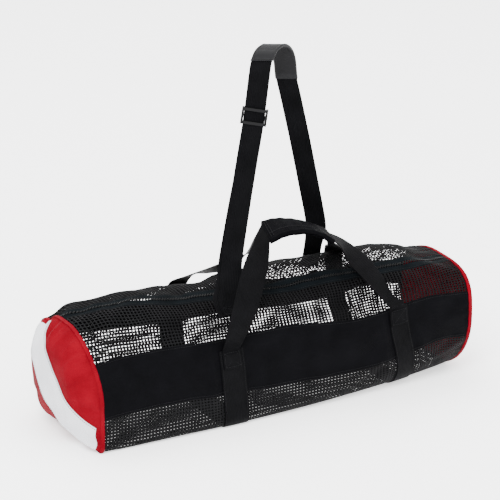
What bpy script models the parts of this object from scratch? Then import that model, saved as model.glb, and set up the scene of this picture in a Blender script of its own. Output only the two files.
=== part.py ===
"""Mesh dive gear bag: a long soft duffle of coarse net with cloth bands, round cloth ends, webbing and a zip.

Metres, +Z up. The bag lies on the floor along X, its front towards -Y. It is hollow: every cloth is a thin wall.
"""

import functools
import math

import bmesh
import bpy
import numpy as np

# Main sizes
LENGTH = 0.745  # from end seam to end seam
CLOTH = 0.0015  # wall of the net and of the cloth bands
GAP = 0.0003  # between pieces that are sewn together
FLOOR_LIFT = 0.0018  # the belly straps lie under the body
WEBBING_THICK = 0.0015
BINDING = 0.003  # how far the bound rim of an end seam reaches over the body
BINDING_THICK = 0.0012
COIL = 0.006  # width of the zip's coil
TAPE = 0.012  # width of each side of the zip's tape
ROWS = 20  # even rows along the body, to which the belly straps' edges add their own

# The body's cross sections. share: place along the length from the left seam. front, back: half widths.
# height: top above the floor. level: height of the widest line. The last four are how boxy each quarter is,
# where 2 is round.
SECTION_COLUMNS = ("share", "front", "back", "height", "level", "low_front", "low_back", "top_front", "top_back")
SECTIONS = (
    (0.00, 0.119, 0.118, 0.206, 0.100, 12.0, 2.6, 1.70, 3.20),
    (0.06, 0.121, 0.120, 0.224, 0.100, 11.0, 2.8, 1.75, 2.80),
    (0.15, 0.122, 0.121, 0.233, 0.100, 10.0, 3.0, 1.80, 2.40),
    (0.33, 0.121, 0.121, 0.234, 0.100, 9.0, 3.0, 1.90, 2.20),
    (0.50, 0.119, 0.120, 0.238, 0.104, 7.0, 3.0, 1.95, 2.20),
    (0.70, 0.117, 0.119, 0.243, 0.110, 4.4, 2.8, 2.10, 2.10),
    (0.85, 0.116, 0.118, 0.242, 0.115, 3.0, 2.4, 2.60, 2.10),
    (1.00, 0.114, 0.115, 0.215, 0.118, 1.9, 2.2, 3.60, 2.20),
)

# How the long seams run. zip: how far the zip lies to the front of the top. panel_top, panel_base: edges of the
# front cloth band, counted from the top. All are shares of the girth.
SEAM_COLUMNS = ("share", "zip", "panel_top", "panel_base")
SEAMS = (
    (0.00, -0.055, 0.132, 0.271),
    (0.10, -0.004, 0.142, 0.274),
    (0.20, 0.020, 0.148, 0.278),
    (0.35, 0.040, 0.154, 0.286),
    (0.50, 0.057, 0.156, 0.295),
    (0.70, 0.068, 0.181, 0.308),
    (0.80, 0.076, 0.178, 0.308),
    (0.90, 0.078, 0.171, 0.291),
    (1.00, 0.045, 0.173, 0.298),
)

BACK_BAND = 0.60  # share of the front cloth band's width that the back one has, down from the same top edge

# How the axis runs. turn: how far each section is turned about the vertical, in degrees.
AXIS_COLUMNS = ("share", "aside", "turn")
AXIS = (
    (0.00, 0.007, 5.0),
    (0.50, 0.001, 4.0),
    (1.00, -0.005, 5.0),
)

# Dents and folds of the skin. around: share of the girth, from the top towards the front. long, wide: how far
# each spreads along the length and round the girth, as shares. height: outwards, negative for a dent.
FOLD_COLUMNS = ("share", "around", "long", "wide", "height")
FOLDS = (
    (0.000, -0.105, 0.030, 0.022, -0.0120),  # pinch where the zip ends at the left cap
    (0.360, -0.095, 0.035, 0.050, -0.0120),  # dent under the back handle
    (0.170, 0.085, 0.060, 0.018, 0.0035),  # long soft folds in the net
    (0.260, 0.115, 0.050, 0.016, -0.0040),
    (0.560, 0.110, 0.060, 0.016, 0.0035),
    (0.660, 0.130, 0.040, 0.016, -0.0040),
    (0.720, 0.020, 0.050, 0.020, -0.0030),
    (0.300, 0.250, 0.018, 0.060, 0.0030),  # crease to the left of the left belly strap
    (0.765, 0.255, 0.014, 0.050, 0.0030),  # and of the right one
    (0.900, 0.100, 0.060, 0.020, 0.0030),
)

# The end caps. bulge: how far the middle stands out. fullness: how flat its middle is, where 2 is a round dome.
CAP_COLUMNS = ("share", "bulge", "fullness")
CAPS = {"left": (0.0, 0.044, 4.0), "right": (1.0, 0.030, 3.0)}
CAP_RINGS = (0.30, 0.56, 0.76, 0.89, 0.965)
STRIPE_WIDTH = 0.074
STRIPE_THICK = 0.0008
STRIPE_SLOPE = 42.0  # degrees, falling to the right as seen from outside

# Under the bag the sections run off to the right, which the belly straps show. shift: share of the length.
UNDER_COLUMNS = ("share", "shift")
UNDER = ((0.0, 0.0), (0.345, 0.010), (0.55, 0.008), (0.80, 0.028), (1.0, 0.0))

# The belly straps. place: share of the length. waist: how far the strap draws the skin in.
BELLY_COLUMNS = ("place", "width", "waist")
BELLY = {"left": (0.345, 0.048, 0.0030), "right": (0.800, 0.038, 0.0030)}
WAIST_RUN = 0.018  # how far beside a belly strap the skin comes back out
BELLY_TOP = 0.176  # share of the girth at which a belly strap starts, front and back
BOX_LOW = 0.224  # share of the girth down to which a handle's end is sewn on
BOX_HIGH = 0.182
# The carry handles' grip, where both run together: path of its middle, from left to right.
PATH_COLUMNS = ("x", "y", "z", "across_x", "across_y", "across_z", "width")
GRIP = (
    (0.0140, -0.0020, 0.3200, -0.10, -0.955, -0.31, 0.046),
    (0.0440, 0.0000, 0.3240, -0.05, -1.0, -0.15, 0.048),
    (0.0830, 0.0000, 0.3185, 0.00, -1.0, -0.03, 0.048),
    (0.1200, 0.0000, 0.3030, -0.05, -1.0, 0.00, 0.048),
    (0.1450, -0.0020, 0.2870, -0.15, -1.0, -0.02, 0.046),
)
# The free legs of the carry handles, from the end sewn to the belly strap up to the grip.
LEGS = {
    "front_left": (
        (-0.1040, -0.1165, 0.1760, 1.00, 0.00, -0.08, 0.038),
        (-0.0960, -0.1190, 0.2020, 0.98, 0.00, -0.25, 0.044),
        (-0.0770, -0.1060, 0.2330, 0.90, -0.15, -0.42, 0.047),
        (-0.0480, -0.0720, 0.2620, 0.80, -0.42, -0.42, 0.047),
        (-0.0270, -0.0470, 0.2790, 0.60, -0.70, -0.35, 0.046),
        (-0.0060, -0.0230, 0.2980, 0.25, -0.93, -0.20, 0.045),
    ),
    "front_right": (
        (0.2240, -0.1180, 0.1800, -0.92, -0.38, -0.05, 0.037),
        (0.2120, -0.1200, 0.1920, -0.62, -0.75, -0.15, 0.040),
        (0.2015, -0.1145, 0.2100, -0.60, -0.74, -0.29, 0.044),
        (0.1900, -0.1020, 0.2290, -0.66, -0.64, -0.38, 0.045),
        (0.1800, -0.0810, 0.2470, -0.74, -0.58, -0.34, 0.045),
        (0.1715, -0.0510, 0.2600, -0.78, -0.55, -0.20, 0.045),
        (0.1610, -0.0200, 0.2785, -0.50, -0.85, 0.02, 0.045),
    ),
    "back_left": (
        (-0.1180, 0.1120, 0.1800, -1.00, 0.00, 0.05, 0.038),
        (-0.1130, 0.1050, 0.2040, -1.00, -0.20, 0.20, 0.042),
        (-0.0980, 0.0900, 0.2200, -0.75, -0.60, 0.25, 0.044),
        (-0.0680, 0.0710, 0.2310, -0.42, -0.70, 0.55, 0.045),
        (-0.0320, 0.0520, 0.2450, -0.30, -0.62, 0.70, 0.045),
        (-0.0080, 0.0310, 0.2700, -0.33, -0.85, 0.38, 0.044),
        (0.0030, 0.0110, 0.2970, -0.25, -0.95, -0.12, 0.044),
    ),
    "back_right": (
        (0.2120, 0.1120, 0.1900, 1.00, 0.00, 0.00, 0.038),
        (0.2110, 0.1040, 0.2100, 1.00, -0.15, 0.00, 0.040),
        (0.2050, 0.0860, 0.2270, 0.95, -0.30, 0.00, 0.041),
        (0.1930, 0.0560, 0.2400, 0.90, -0.40, 0.00, 0.042),
        (0.1780, 0.0260, 0.2500, 0.75, -0.65, 0.00, 0.043),
        (0.1640, 0.0060, 0.2590, 0.35, -0.90, -0.05, 0.044),
    ),
}
GRIP_STATIONS = 9
WRAP_WIDTH = 0.0525
WRAP_DEPTH = 0.0074
WRAP_WALL = 0.0014
WRAP_ROUND = 0.0018
WRAP_POINTS = 15  # of twelve to a turn

# The shoulder strap, from its left foot over the top to its right foot. It faces the front left.
STRAP = (
    (-0.0860, -0.0540, 0.2320, 0.95, -0.20, 0.0, 0.038),
    (-0.0800, -0.0480, 0.2480, 0.92, -0.35, 0.0, 0.038),
    (-0.0630, -0.0200, 0.2900, 0.90, -0.44, 0.0, 0.038),
    (-0.0380, 0.0000, 0.3800, 0.90, -0.44, -0.15, 0.038),
    (-0.0250, 0.0000, 0.4570, 0.90, -0.44, -0.15, 0.038),
    (-0.0110, 0.0000, 0.5350, 0.90, -0.44, -0.15, 0.038),
    (-0.0050, 0.0000, 0.5780, 0.90, -0.44, -0.15, 0.038),
    (0.0030, 0.0000, 0.6380, 0.90, -0.44, 0.0, 0.038),
    (0.0090, 0.0020, 0.6540, 0.90, -0.44, 0.0, 0.038),
    (0.0200, 0.0080, 0.6660, 0.90, -0.44, 0.0, 0.038),
    (0.0380, 0.0170, 0.6690, 0.90, -0.44, 0.0, 0.038),
    (0.0550, 0.0250, 0.6590, 0.90, -0.44, 0.0, 0.038),
    (0.0665, 0.0310, 0.6360, 0.90, -0.44, 0.0, 0.038),
    (0.0740, 0.0370, 0.5960, 0.90, -0.44, 0.0, 0.038),
    (0.0860, 0.0430, 0.5555, 0.90, -0.44, 0.0, 0.038),
    (0.1090, 0.0500, 0.4660, 0.90, -0.44, 0.0, 0.038),
    (0.1310, 0.0600, 0.3800, 0.90, -0.44, 0.0, 0.038),
    (0.1540, 0.0720, 0.2900, 0.92, -0.40, 0.0, 0.038),
    (0.1570, 0.0790, 0.2580, 0.95, -0.20, 0.0, 0.038),
    (0.1550, 0.0840, 0.2330, 1.00, 0.00, 0.0, 0.038),
)
STRAP_THICK = 0.0016
STRAP_FEET = {"left": (0.377, 0.082, 0.106), "right": (0.714, -0.128, -0.152)}  # share, and girth from and to
LAYER_GAP = 0.0010  # between the strap and the layer behind it
LAYER_SHIFT = -0.010  # the layer behind stands out to the left by this much near the foot
SLIDER_LEVEL = 0.5480
SLIDER_WIDTH = 0.047
SLIDER_HEIGHT = 0.031
PAD_SPAN = (7.6, 13.0)  # rows of the strap's path between which the pad lies
PAD_STATIONS = 15
PAD_WIDTH = 0.0410
PAD_DEPTH = 0.0064
PAD_WALL = 0.0012


def clear_scene():
    for thing in list(bpy.data.objects):
        bpy.data.objects.remove(thing, do_unlink=True)


def smooth_value(table, places, at):
    """The table's row at this place, on a smooth curve through its rows."""
    at = min(max(at, places[0]), places[-1])
    after = int(np.clip(np.searchsorted(places, at, side="right"), 1, len(places) - 1))
    slopes = np.gradient(table, places, axis=0)
    step = places[after] - places[after - 1]
    part = (at - places[after - 1]) / step
    return (
        table[after - 1] * (2 * part**3 - 3 * part**2 + 1)
        + slopes[after - 1] * step * (part**3 - 2 * part**2 + part)
        + table[after] * (3 * part**2 - 2 * part**3)
        + slopes[after] * step * (part**3 - part**2)
    )


@functools.lru_cache(maxsize=None)
def curve_through(columns, rows, share):
    """The table's values at this share of the length, as a dict."""
    table = np.array(rows)
    return dict(zip(columns, smooth_value(table, table[:, 0], share)))


@functools.lru_cache(maxsize=None)
def outline(share):
    """The cross section at this share, from the top towards the front: y, z, outward normal and running length."""
    size = curve_through(SECTION_COLUMNS, SECTIONS, share)
    angle = np.linspace(0, 2 * math.pi, 721)
    to_front = np.sin(angle)
    up = np.cos(angle)
    front = to_front >= 0
    high = up >= 0
    power = np.where(
        front,
        np.where(high, size["top_front"], size["low_front"]),
        np.where(high, size["top_back"], size["low_back"]),
    )
    reach = np.abs(to_front) ** (2 / power)
    rise = np.abs(up) ** (2 / power)
    y = np.where(front, -size["front"] * reach, size["back"] * reach)
    z = size["level"] + np.where(high, (size["height"] - size["level"]) * rise, -1.06 * size["level"] * rise)
    z = np.maximum(z, 0.0) + FLOOR_LIFT
    run = np.concatenate([[0.0], np.cumsum(np.hypot(np.diff(y), np.diff(z)))])
    even = np.linspace(0, run[-1], 721)
    y = np.interp(even, run, y)
    z = np.interp(even, run, z)
    y_step = np.roll(y[:-1], -2) - np.roll(y[:-1], 2)
    z_step = np.roll(z[:-1], -2) - np.roll(z[:-1], 2)
    length = np.hypot(y_step, z_step)
    normal_y = np.append(z_step / length, (z_step / length)[0])
    normal_z = np.append(-y_step / length, (-y_step / length)[0])
    return y, z, normal_y, normal_z, run[-1]


def girth(share):
    return outline(share)[4]


def fold_height(share, around):
    """How far the skin stands out here from its plain section."""
    total = 0.0
    for fold in FOLDS:
        row = dict(zip(FOLD_COLUMNS, fold))
        apart = (around - row["around"] + 0.5) % 1.0 - 0.5
        reach = ((share - row["share"]) / row["long"]) ** 2 + (apart / row["wide"]) ** 2
        total += row["height"] * math.exp(-reach)
    return total


def waist(share, around):
    """How far the belly straps draw the skin in here, and how much of the folds they leave."""
    reach = min(max((0.37 - abs((around % 1.0) - 0.5)) / 0.08, 0.0), 1.0)
    depth = 0.0
    left = 1.0
    for row in BELLY.values():
        strap = dict(zip(BELLY_COLUMNS, row))
        beyond = abs(share - strap["place"]) * LENGTH - strap["width"] / 2 - 0.001
        part = min(max(1 - beyond / WAIST_RUN, 0.0), 1.0)
        part = part * part * (3 - 2 * part) * reach
        depth += strap["waist"] * part
        left -= part
    return depth, left


def true_share(share, around):
    """The share of the length at which this section really runs here."""
    part = min(max((0.30 - abs((around % 1.0) - 0.5)) / 0.16, 0.0), 1.0)
    shift = curve_through(UNDER_COLUMNS, UNDER, share)["shift"]
    return min(max(share + shift * part * part * (3 - 2 * part), 0.0), 1.0)


def skin_point(share, around):
    """A point of the body's outer surface, where around is a share of the girth from the top towards the front."""
    real = true_share(share, around)
    y, z, normal_y, normal_z, _ = outline(real)
    place = (around % 1.0) * 720
    first = int(place)
    part = place - first
    second = min(first + 1, 720)
    y_here = y[first] * (1 - part) + y[second] * part
    z_here = z[first] * (1 - part) + z[second] * part
    above = min(max((z_here - 0.015) / 0.030, 0.0), 1.0)
    depth, left = waist(share, around)
    out = (fold_height(share, around) * left - depth) * above
    y_here += out * (normal_y[first] * (1 - part) + normal_y[second] * part)
    z_here += out * (normal_z[first] * (1 - part) + normal_z[second] * part)
    axis = curve_through(AXIS_COLUMNS, AXIS, real)
    x_here = (real - 0.5) * LENGTH - y_here * math.tan(math.radians(axis["turn"]))
    return np.array([x_here, y_here + axis["aside"], z_here])


@functools.lru_cache(maxsize=None)
def skin_normal(share, around):
    """The outward normal of the body's outer surface."""
    small = 0.004
    along = skin_point(min(share + small, 1.0), around) - skin_point(max(share - small, 0.0), around)
    round_it = skin_point(share, around + small) - skin_point(share, around - small)
    normal = np.cross(round_it, along)
    return normal / np.linalg.norm(normal)


def lifted(share, around, lift):
    return skin_point(share, around) + skin_normal(share, around) * lift


def material(name, colour, roughness):
    made = bpy.data.materials.new(name)
    made.use_nodes = True
    shader = made.node_tree.nodes["Principled BSDF"]
    shader.inputs["Base Color"].default_value = (*colour, 1.0)
    shader.inputs["Roughness"].default_value = roughness
    return made


COLOURS = {
    "black_net": ((0.012, 0.012, 0.013), 0.55),
    "black_cloth": ((0.010, 0.010, 0.011), 0.80),
    "red_cloth": ((0.560, 0.010, 0.014), 0.70),
    "white_cloth": ((0.780, 0.780, 0.790), 0.75),
    "black_webbing": ((0.009, 0.009, 0.010), 0.75),
    "black_plastic": ((0.012, 0.012, 0.013), 0.35),
    "black_zip": ((0.014, 0.016, 0.018), 0.60),
}


def add_object(name, verts, faces, colour):
    mesh = bpy.data.meshes.new(name)
    mesh.from_pydata([tuple(v) for v in verts], [], faces)
    shape = bmesh.new()
    shape.from_mesh(mesh)
    bmesh.ops.recalc_face_normals(shape, faces=shape.faces)
    shape.to_mesh(mesh)
    shape.free()
    made = bpy.data.objects.new(name, mesh)
    bag.objects.link(made)
    made.data.materials.append(material(name + "_" + colour, *COLOURS[colour]))
    for face in mesh.polygons:
        face.use_smooth = True
    return made


def wall_from_grids(name, outer, inner, colour):
    """A closed thin wall between two equal grids of points."""
    rows = len(outer)
    columns = len(outer[0])
    verts = [p for row in outer for p in row] + [p for row in inner for p in row]
    under = rows * columns
    faces = []
    for i in range(rows - 1):
        for j in range(columns - 1):
            a = i * columns + j
            b = a + columns + 1
            faces += [(a, a + 1, b), (a, b, b - 1)]
            faces += [(under + b, under + a + 1, under + a), (under + b - 1, under + b, under + a)]
    rim = list(range(columns))
    rim += [i * columns + columns - 1 for i in range(1, rows)]
    rim += [(rows - 1) * columns + j for j in range(columns - 2, -1, -1)]
    rim += [i * columns for i in range(rows - 2, 0, -1)]
    for k, first in enumerate(rim):
        second = rim[(k + 1) % len(rim)]
        faces.append((second, first, under + first, under + second))
    return add_object(name, verts, faces, colour)


def loft(name, rings, colour, closed=False):
    """A solid through equal rings of points. closed joins the last ring to the first, and otherwise both ends fill.

    A ring of four is a flat band, both of whose faces are split along the same diagonals.
    """
    count = len(rings[0])
    verts = [p for ring in rings for p in ring]
    faces = []
    for i in range(len(rings) if closed else len(rings) - 1):
        after = (i + 1) % len(rings)
        for j in range(count):
            side = (j + 1) % count
            near, near_side = i * count + j, i * count + side
            far, far_side = after * count + j, after * count + side
            if count == 4 and j == 2:
                faces += [(near, near_side, far), (near_side, far_side, far)]
            else:
                faces += [(near, near_side, far_side), (near, far_side, far)]
    if not closed:
        faces.append(tuple(reversed(range(count))))
        faces.append(tuple((len(rings) - 1) * count + j for j in range(count)))
    return add_object(name, verts, faces, colour)


def seam(name, share):
    return curve_through(SEAM_COLUMNS, SEAMS, share)[name]


def body_shares():
    """The shares of the length at which the body's walls have a row."""
    fixed = [GAP / LENGTH, BINDING / LENGTH, 1 - BINDING / LENGTH, 1 - GAP / LENGTH]
    for row in BELLY.values():
        strap = dict(zip(BELLY_COLUMNS, row))
        half = strap["width"] / 2 / LENGTH
        run = (strap["width"] / 2 + 0.9 * WAIST_RUN) / LENGTH
        fixed += [strap["place"] + part for part in (-run, -half, 0.0, half, run)]
    even = [i / ROWS for i in range(ROWS + 1)]
    even = [share for share in even if min(abs(share - other) for other in fixed) > 0.4 / ROWS]
    return sorted(fixed + even)


def wall_span(piece, share):
    """Where a wall of the body starts and ends at this share, as shares of the girth, and its number of columns."""
    whole = girth(share)
    line = seam("zip", share)
    coil = COIL / 2 / whole
    side = (COIL / 2 + TAPE) / whole
    top = seam("panel_top", share)
    base = seam("panel_base", share)
    back_base = top + BACK_BAND * (base - top)
    return {
        "zip_coil": (line - coil, line + coil, 1),
        "zip_tape_front": (line + coil, line + side, 1),
        "net_top_front": (line + side, top, 5),
        "panel_front": (top, base, 5),
        "net_bottom": (base, 1 - back_base, 14),
        "panel_back": (1 - back_base, 1 - top, 3),
        "net_top_back": (1 - top, 1 + line - side, 7),
        "zip_tape_back": (1 + line - side, 1 + line - coil, 1),
    }[piece]


WALLS = {
    "zip_coil": "black_zip",
    "zip_tape_front": "black_zip",
    "net_top_front": "black_net",
    "panel_front": "black_cloth",
    "net_bottom": "black_net",
    "panel_back": "black_cloth",
    "net_top_back": "black_net",
    "zip_tape_back": "black_zip",
}


def ring_places(share):
    """The places round the girth at which the body's walls have a column, all in order."""
    places = []
    for piece in WALLS:
        start, end, count = wall_span(piece, share)
        places += [start + (end - start) * j / count for j in range(count)]
    return places


def build_wall(piece, colour):
    shares = body_shares()
    high = 0.0
    if piece == "zip_coil":
        high = 0.0008
        shares = [BINDING / LENGTH + GAP / LENGTH] + shares[2:-2] + [1 - BINDING / LENGTH - GAP / LENGTH]
    outer = []
    inner = []
    for share in shares:
        start, end, count = wall_span(piece, share)
        edge = (GAP / 2 + 0.0001) / girth(share)
        start += edge
        end -= edge
        places = [start + (end - start) * j / count for j in range(count + 1)]
        outer.append([lifted(share, around, high) for around in places])
        inner.append([lifted(share, around, -CLOTH) for around in places])
    wall_from_grids(piece, outer, inner, colour)


def cap_frame(side):
    """The middle of an end's outline, and the outline as reach from it by direction."""
    share = CAPS[side][0]
    points = np.array([skin_point(share, k / 360) for k in range(360)])
    middle = np.array([(points[:, k].max() + points[:, k].min()) / 2 for k in (1, 2)])
    apart = points[:, 1:] - middle
    direction = np.arctan2(apart[:, 1], apart[:, 0])
    order = np.argsort(direction)
    return middle, direction[order], np.hypot(apart[:, 0], apart[:, 1])[order]


def cap_point(side, frame, y, z, lift=0.0):
    """A point of an end cap's outer surface, from its height and its place across."""
    middle, directions, reaches = frame
    share, bulge, fullness = CAPS[side]
    apart = np.array([y, z]) - middle
    direction = math.atan2(apart[1], apart[0])
    reach = np.interp(direction, directions, reaches, period=2 * math.pi)
    out = math.hypot(*apart) / reach
    axis = curve_through(AXIS_COLUMNS, AXIS, share)
    seam_x = (share - 0.5) * LENGTH - (y - axis["aside"]) * math.tan(math.radians(axis["turn"]))
    depth = GAP + CLOTH + bulge * (1 - min(out, 1.0) ** fullness) + lift
    return np.array([seam_x + (depth if share > 0.5 else -depth), y, z])


def cap_normal(side, frame, y, z):
    small = 0.0005
    across = cap_point(side, frame, y + small, z) - cap_point(side, frame, y - small, z)
    up = cap_point(side, frame, y, z + small) - cap_point(side, frame, y, z - small)
    normal = np.cross(across, up)
    normal /= np.linalg.norm(normal)
    return normal if (normal[0] > 0) == (CAPS[side][0] > 0.5) else -normal


def build_cap(side):
    frame = cap_frame(side)
    middle = frame[0]
    share = CAPS[side][0]
    rim = [skin_point(share, around) for around in ring_places(share)]
    count = len(rim)
    outer = [[cap_point(side, frame, *middle)]]
    inner = [[outer[0][0] - cap_normal(side, frame, *middle) * CLOTH]]
    for ring in CAP_RINGS:
        places = [middle + (p[1:] - middle) * ring for p in rim]
        outer.append([cap_point(side, frame, *place) for place in places])
        inner.append(
            [cap_point(side, frame, *place) - cap_normal(side, frame, *place) * CLOTH for place in places]
        )
    away = 1.0 if share > 0.5 else -1.0
    outer.append([p + np.array([away * (GAP + CLOTH), 0, 0]) for p in rim])
    inner.append([p + np.array([away * GAP, 0, 0]) for p in rim])
    verts = []
    starts = []
    for grid in (outer, inner):
        starts.append(len(verts))
        verts += [p for ring in grid for p in ring]
    faces = []
    for start in starts:
        for j in range(count):
            after = (j + 1) % count
            faces.append((start, start + 1 + j, start + 1 + after))
            for i in range(len(outer) - 2):
                a = start + 1 + i * count
                faces.append((a + j, a + count + j, a + count + after, a + after))
    last = 1 + (len(outer) - 2) * count
    for j in range(count):
        after = (j + 1) % count
        faces.append((starts[0] + last + j, starts[1] + last + j, starts[1] + last + after, starts[0] + last + after))
    add_object("end_cap_" + side, verts, faces, "red_cloth")


def build_stripe(side):
    """A straight band sewn across an end cap: the cap's shape, moved out and cut down to a band."""
    frame = cap_frame(side)
    middle = frame[0]
    share = CAPS[side][0]
    rim = [skin_point(share, around) for around in ring_places(share)]
    count = len(rim)
    verts = []
    faces = []
    starts = []
    for lift in (GAP + STRIPE_THICK, GAP):
        starts.append(len(verts))
        verts.append(cap_point(side, frame, *middle) + cap_normal(side, frame, *middle) * lift)
        for ring in CAP_RINGS[:-1]:
            places = [middle + (p[1:] - middle) * ring for p in rim]
            verts += [cap_point(side, frame, *p) + cap_normal(side, frame, *p) * lift for p in places]
    rings = len(CAP_RINGS) - 1
    for start in starts:
        for j in range(count):
            after = (j + 1) % count
            faces.append((start, start + 1 + j, start + 1 + after))
            for i in range(rings - 1):
                a = start + 1 + i * count
                faces.append((a + j, a + count + j, a + count + after, a + after))
    last = 1 + (rings - 1) * count
    for j in range(count):
        after = (j + 1) % count
        faces.append((starts[0] + last + j, starts[1] + last + j, starts[1] + last + after, starts[0] + last + after))
    band = add_object("end_stripe_" + side, verts, faces, "white_cloth")
    bpy.ops.mesh.primitive_cube_add(size=1.0)
    cutter = bpy.context.object
    cutter.name = "band_limit_" + side
    for other in list(cutter.users_collection):
        other.objects.unlink(cutter)
    cutters.objects.link(cutter)
    cutter.scale = (0.2, 0.4, STRIPE_WIDTH)
    slope = math.radians(STRIPE_SLOPE)
    cutter.rotation_euler = (slope if side == "left" else -slope, 0, 0)
    cutter.location = ((share - 0.5) * LENGTH, middle[0], middle[1])
    cutter.hide_render = True
    cutter.display_type = "WIRE"
    keep = band.modifiers.new("band", "BOOLEAN")
    keep.operation = "INTERSECT"
    keep.solver = "EXACT"
    keep.object = cutter


def build_binding(side):
    """The bound rim round an end seam, over the body's edge and the cap's."""
    share = CAPS[side][0]
    away = 1.0 if share > 0.5 else -1.0
    inside = BINDING / LENGTH if share < 0.5 else 1 - BINDING / LENGTH
    low = GAP
    high = GAP + BINDING_THICK
    rings = []
    for around, around_inside in zip(ring_places(share), ring_places(inside)):
        flat = skin_normal(share, around) * np.array([0, 1, 1])
        flat /= np.linalg.norm(flat)
        rim = skin_point(share, around)
        tip = rim + np.array([away * (2 * GAP + 2 * CLOTH), 0, 0])
        ring = [
            lifted(inside, around_inside, low),
            lifted(inside, around_inside, high),
            rim + flat * high,
            tip + flat * high,
            tip + flat * low,
            rim + flat * low,
        ]
        rings.append(ring)
    loft("piping_" + side, rings, "red_cloth", closed=True)


def build_belly(side):
    strap = dict(zip(BELLY_COLUMNS, BELLY[side]))
    half = strap["width"] / 2 / LENGTH
    shares = [strap["place"] + part for part in (-half, 0.0, half)]
    middle = ring_places(shares[1])
    used = [k for k, around in enumerate(middle) if BELLY_TOP - 0.002 < around < 1.002 - BELLY_TOP]
    columns = []
    for share in shares:
        places = ring_places(share)
        columns.append([places[k] for k in used])
    outer = []
    inner = []
    for i in range(len(columns[0])):
        outer.append([lifted(share, column[i], GAP + WEBBING_THICK) for share, column in zip(shares, columns)])
        inner.append([lifted(share, column[i], GAP) for share, column in zip(shares, columns)])
    wall_from_grids("belly_strap_" + side, outer, inner, "black_webbing")


def sewn_row(share, around, width, lift, flip):
    """A row of a webbing's path that lies on the body's skin. flip turns the direction across."""
    half = width / 2 / LENGTH
    parts = [skin_point(share + half * part, around) for part in (-1.0, -0.5, 0.0, 0.5, 1.0)]
    out = skin_normal(share, around)
    across = parts[-1] - parts[0]
    across = across - out * np.dot(across, out)
    across /= np.linalg.norm(across)
    middle = parts[2]
    highest = max(np.dot(part - middle, out) for part in parts)
    return (*(middle + out * (highest + lift)), *(across * flip), width)


def ribbon_frames(rows, stations):
    """Places along a path with the direction across and out at each, from rows of the path's columns."""
    table = np.array(rows, float)
    places = np.arange(len(table), dtype=float)
    frames = []
    for at in stations:
        row = smooth_value(table, places, at)
        ahead = smooth_value(table, places, min(at + 0.02, places[-1]))
        behind = smooth_value(table, places, max(at - 0.02, 0.0))
        across = row[3:6] / np.linalg.norm(row[3:6])
        out = np.cross(across, ahead[:3] - behind[:3])
        frames.append((row[:3], across, out / np.linalg.norm(out), row[6]))
    return frames


def ribbon(name, frames, thick, colour):
    """A flat band along the frames."""
    rings = []
    for middle, across, out, width in frames:
        half = across * width / 2
        face = out * thick / 2
        rings.append([middle - half - face, middle + half - face, middle + half + face, middle - half + face])
    return loft(name, rings, colour)


def grip_frames():
    last = len(GRIP) - 1
    return ribbon_frames(GRIP, [last * i / (GRIP_STATIONS - 1) for i in range(GRIP_STATIONS)])


def sewn_end(side, back, flip):
    """The rows of a handle's end where it lies on the belly strap, from its tip upwards."""
    share = BELLY[side][0]
    lift = 2 * GAP + 1.5 * WEBBING_THICK + 0.0002
    rows = []
    for part in (0.0, 0.25, 0.5, 0.75, 1.0):
        around = BOX_LOW + (BOX_HIGH - BOX_LOW) * part
        rows.append(sewn_row(share, -around if back else around, 0.036, lift, flip))
    return rows


def build_handle(name, back):
    word = "back" if back else "front"
    sign = -1.0 if back else 1.0
    shift = 0.5 * (WEBBING_THICK + GAP + 0.0002) * sign
    left = sewn_end("left", back, sign) + list(LEGS[word + "_left"])
    right = sewn_end("right", back, -sign) + list(LEGS[word + "_right"])
    grip = [(*(middle + out * shift), *across, width) for middle, across, out, width in grip_frames()]
    rows = left + grip + right[::-1]
    stations = []
    for place in range(len(rows)):
        stations.append(float(place))
        free = 4 <= place < len(left) or len(left) + len(grip) - 1 <= place < len(rows) - 5
        if free:
            stations.append(place + 0.5)
    frames = ribbon_frames(rows, stations)
    for place, (_, across, out, width) in enumerate(grip_frames()):
        at = stations.index(float(len(left) + place))
        frames[at] = (frames[at][0], across, out, width)
    ribbon(name, frames, WEBBING_THICK, "black_webbing")


def build_wrap():
    """The grip: a strip rolled round both handles, its outer end lying over its start."""
    corners = ((1, -1, -90), (1, 1, 0), (-1, 1, 90), (-1, -1, 180))
    rings = []
    for middle, across, out, _ in grip_frames():
        outer = []
        inner = []
        for k in range(WRAP_POINTS):
            side, face, start = corners[(k // 3) % 4]
            angle = math.radians(start + 45 * (k % 3))
            grow = (WRAP_WALL + 2 * GAP) * k / 12
            wide = WRAP_WIDTH / 2 + grow
            deep = WRAP_DEPTH / 2 + grow
            for points, wall in ((outer, 0.0), (inner, WRAP_WALL)):
                bend = WRAP_ROUND - wall
                u = side * (wide - WRAP_ROUND) + bend * math.cos(angle)
                v = face * (deep - WRAP_ROUND) + bend * math.sin(angle)
                points.append(middle + across * u + out * v)
        rings.append(outer + inner[::-1])
    loft("handle_wrap", rings, "black_webbing")


def foot_rows(side, lift):
    """The rows of the shoulder strap's end where it is sewn to the net, from its tip inwards."""
    share, near, far = STRAP_FEET[side]
    rows = []
    for part in (0.0, 0.5, 1.0):
        rows.append(sewn_row(share, far + (near - far) * part, 0.038, lift, 1.0))
    return rows


def strap_rows():
    layers = 2 * GAP + 1.5 * STRAP_THICK + 0.0004
    single = GAP + 0.5 * STRAP_THICK + 0.0002
    return foot_rows("left", layers) + list(STRAP) + foot_rows("right", single)[::-1]


def pad_stations():
    """The pad's stations on the path of the whole strap."""
    first, last = PAD_SPAN
    return [3 + first + (last - first) * i / (PAD_STATIONS - 1) for i in range(PAD_STATIONS)]


def build_strap():
    rows = strap_rows()
    pad = pad_stations()
    others = [place / 2 for place in range(2 * len(rows) - 1)]
    others = [at for at in others if at < pad[0] - 0.2 or at > pad[-1] + 0.2]
    ribbon("shoulder_strap", ribbon_frames(rows, sorted(others + pad)), STRAP_THICK, "black_webbing")


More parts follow.
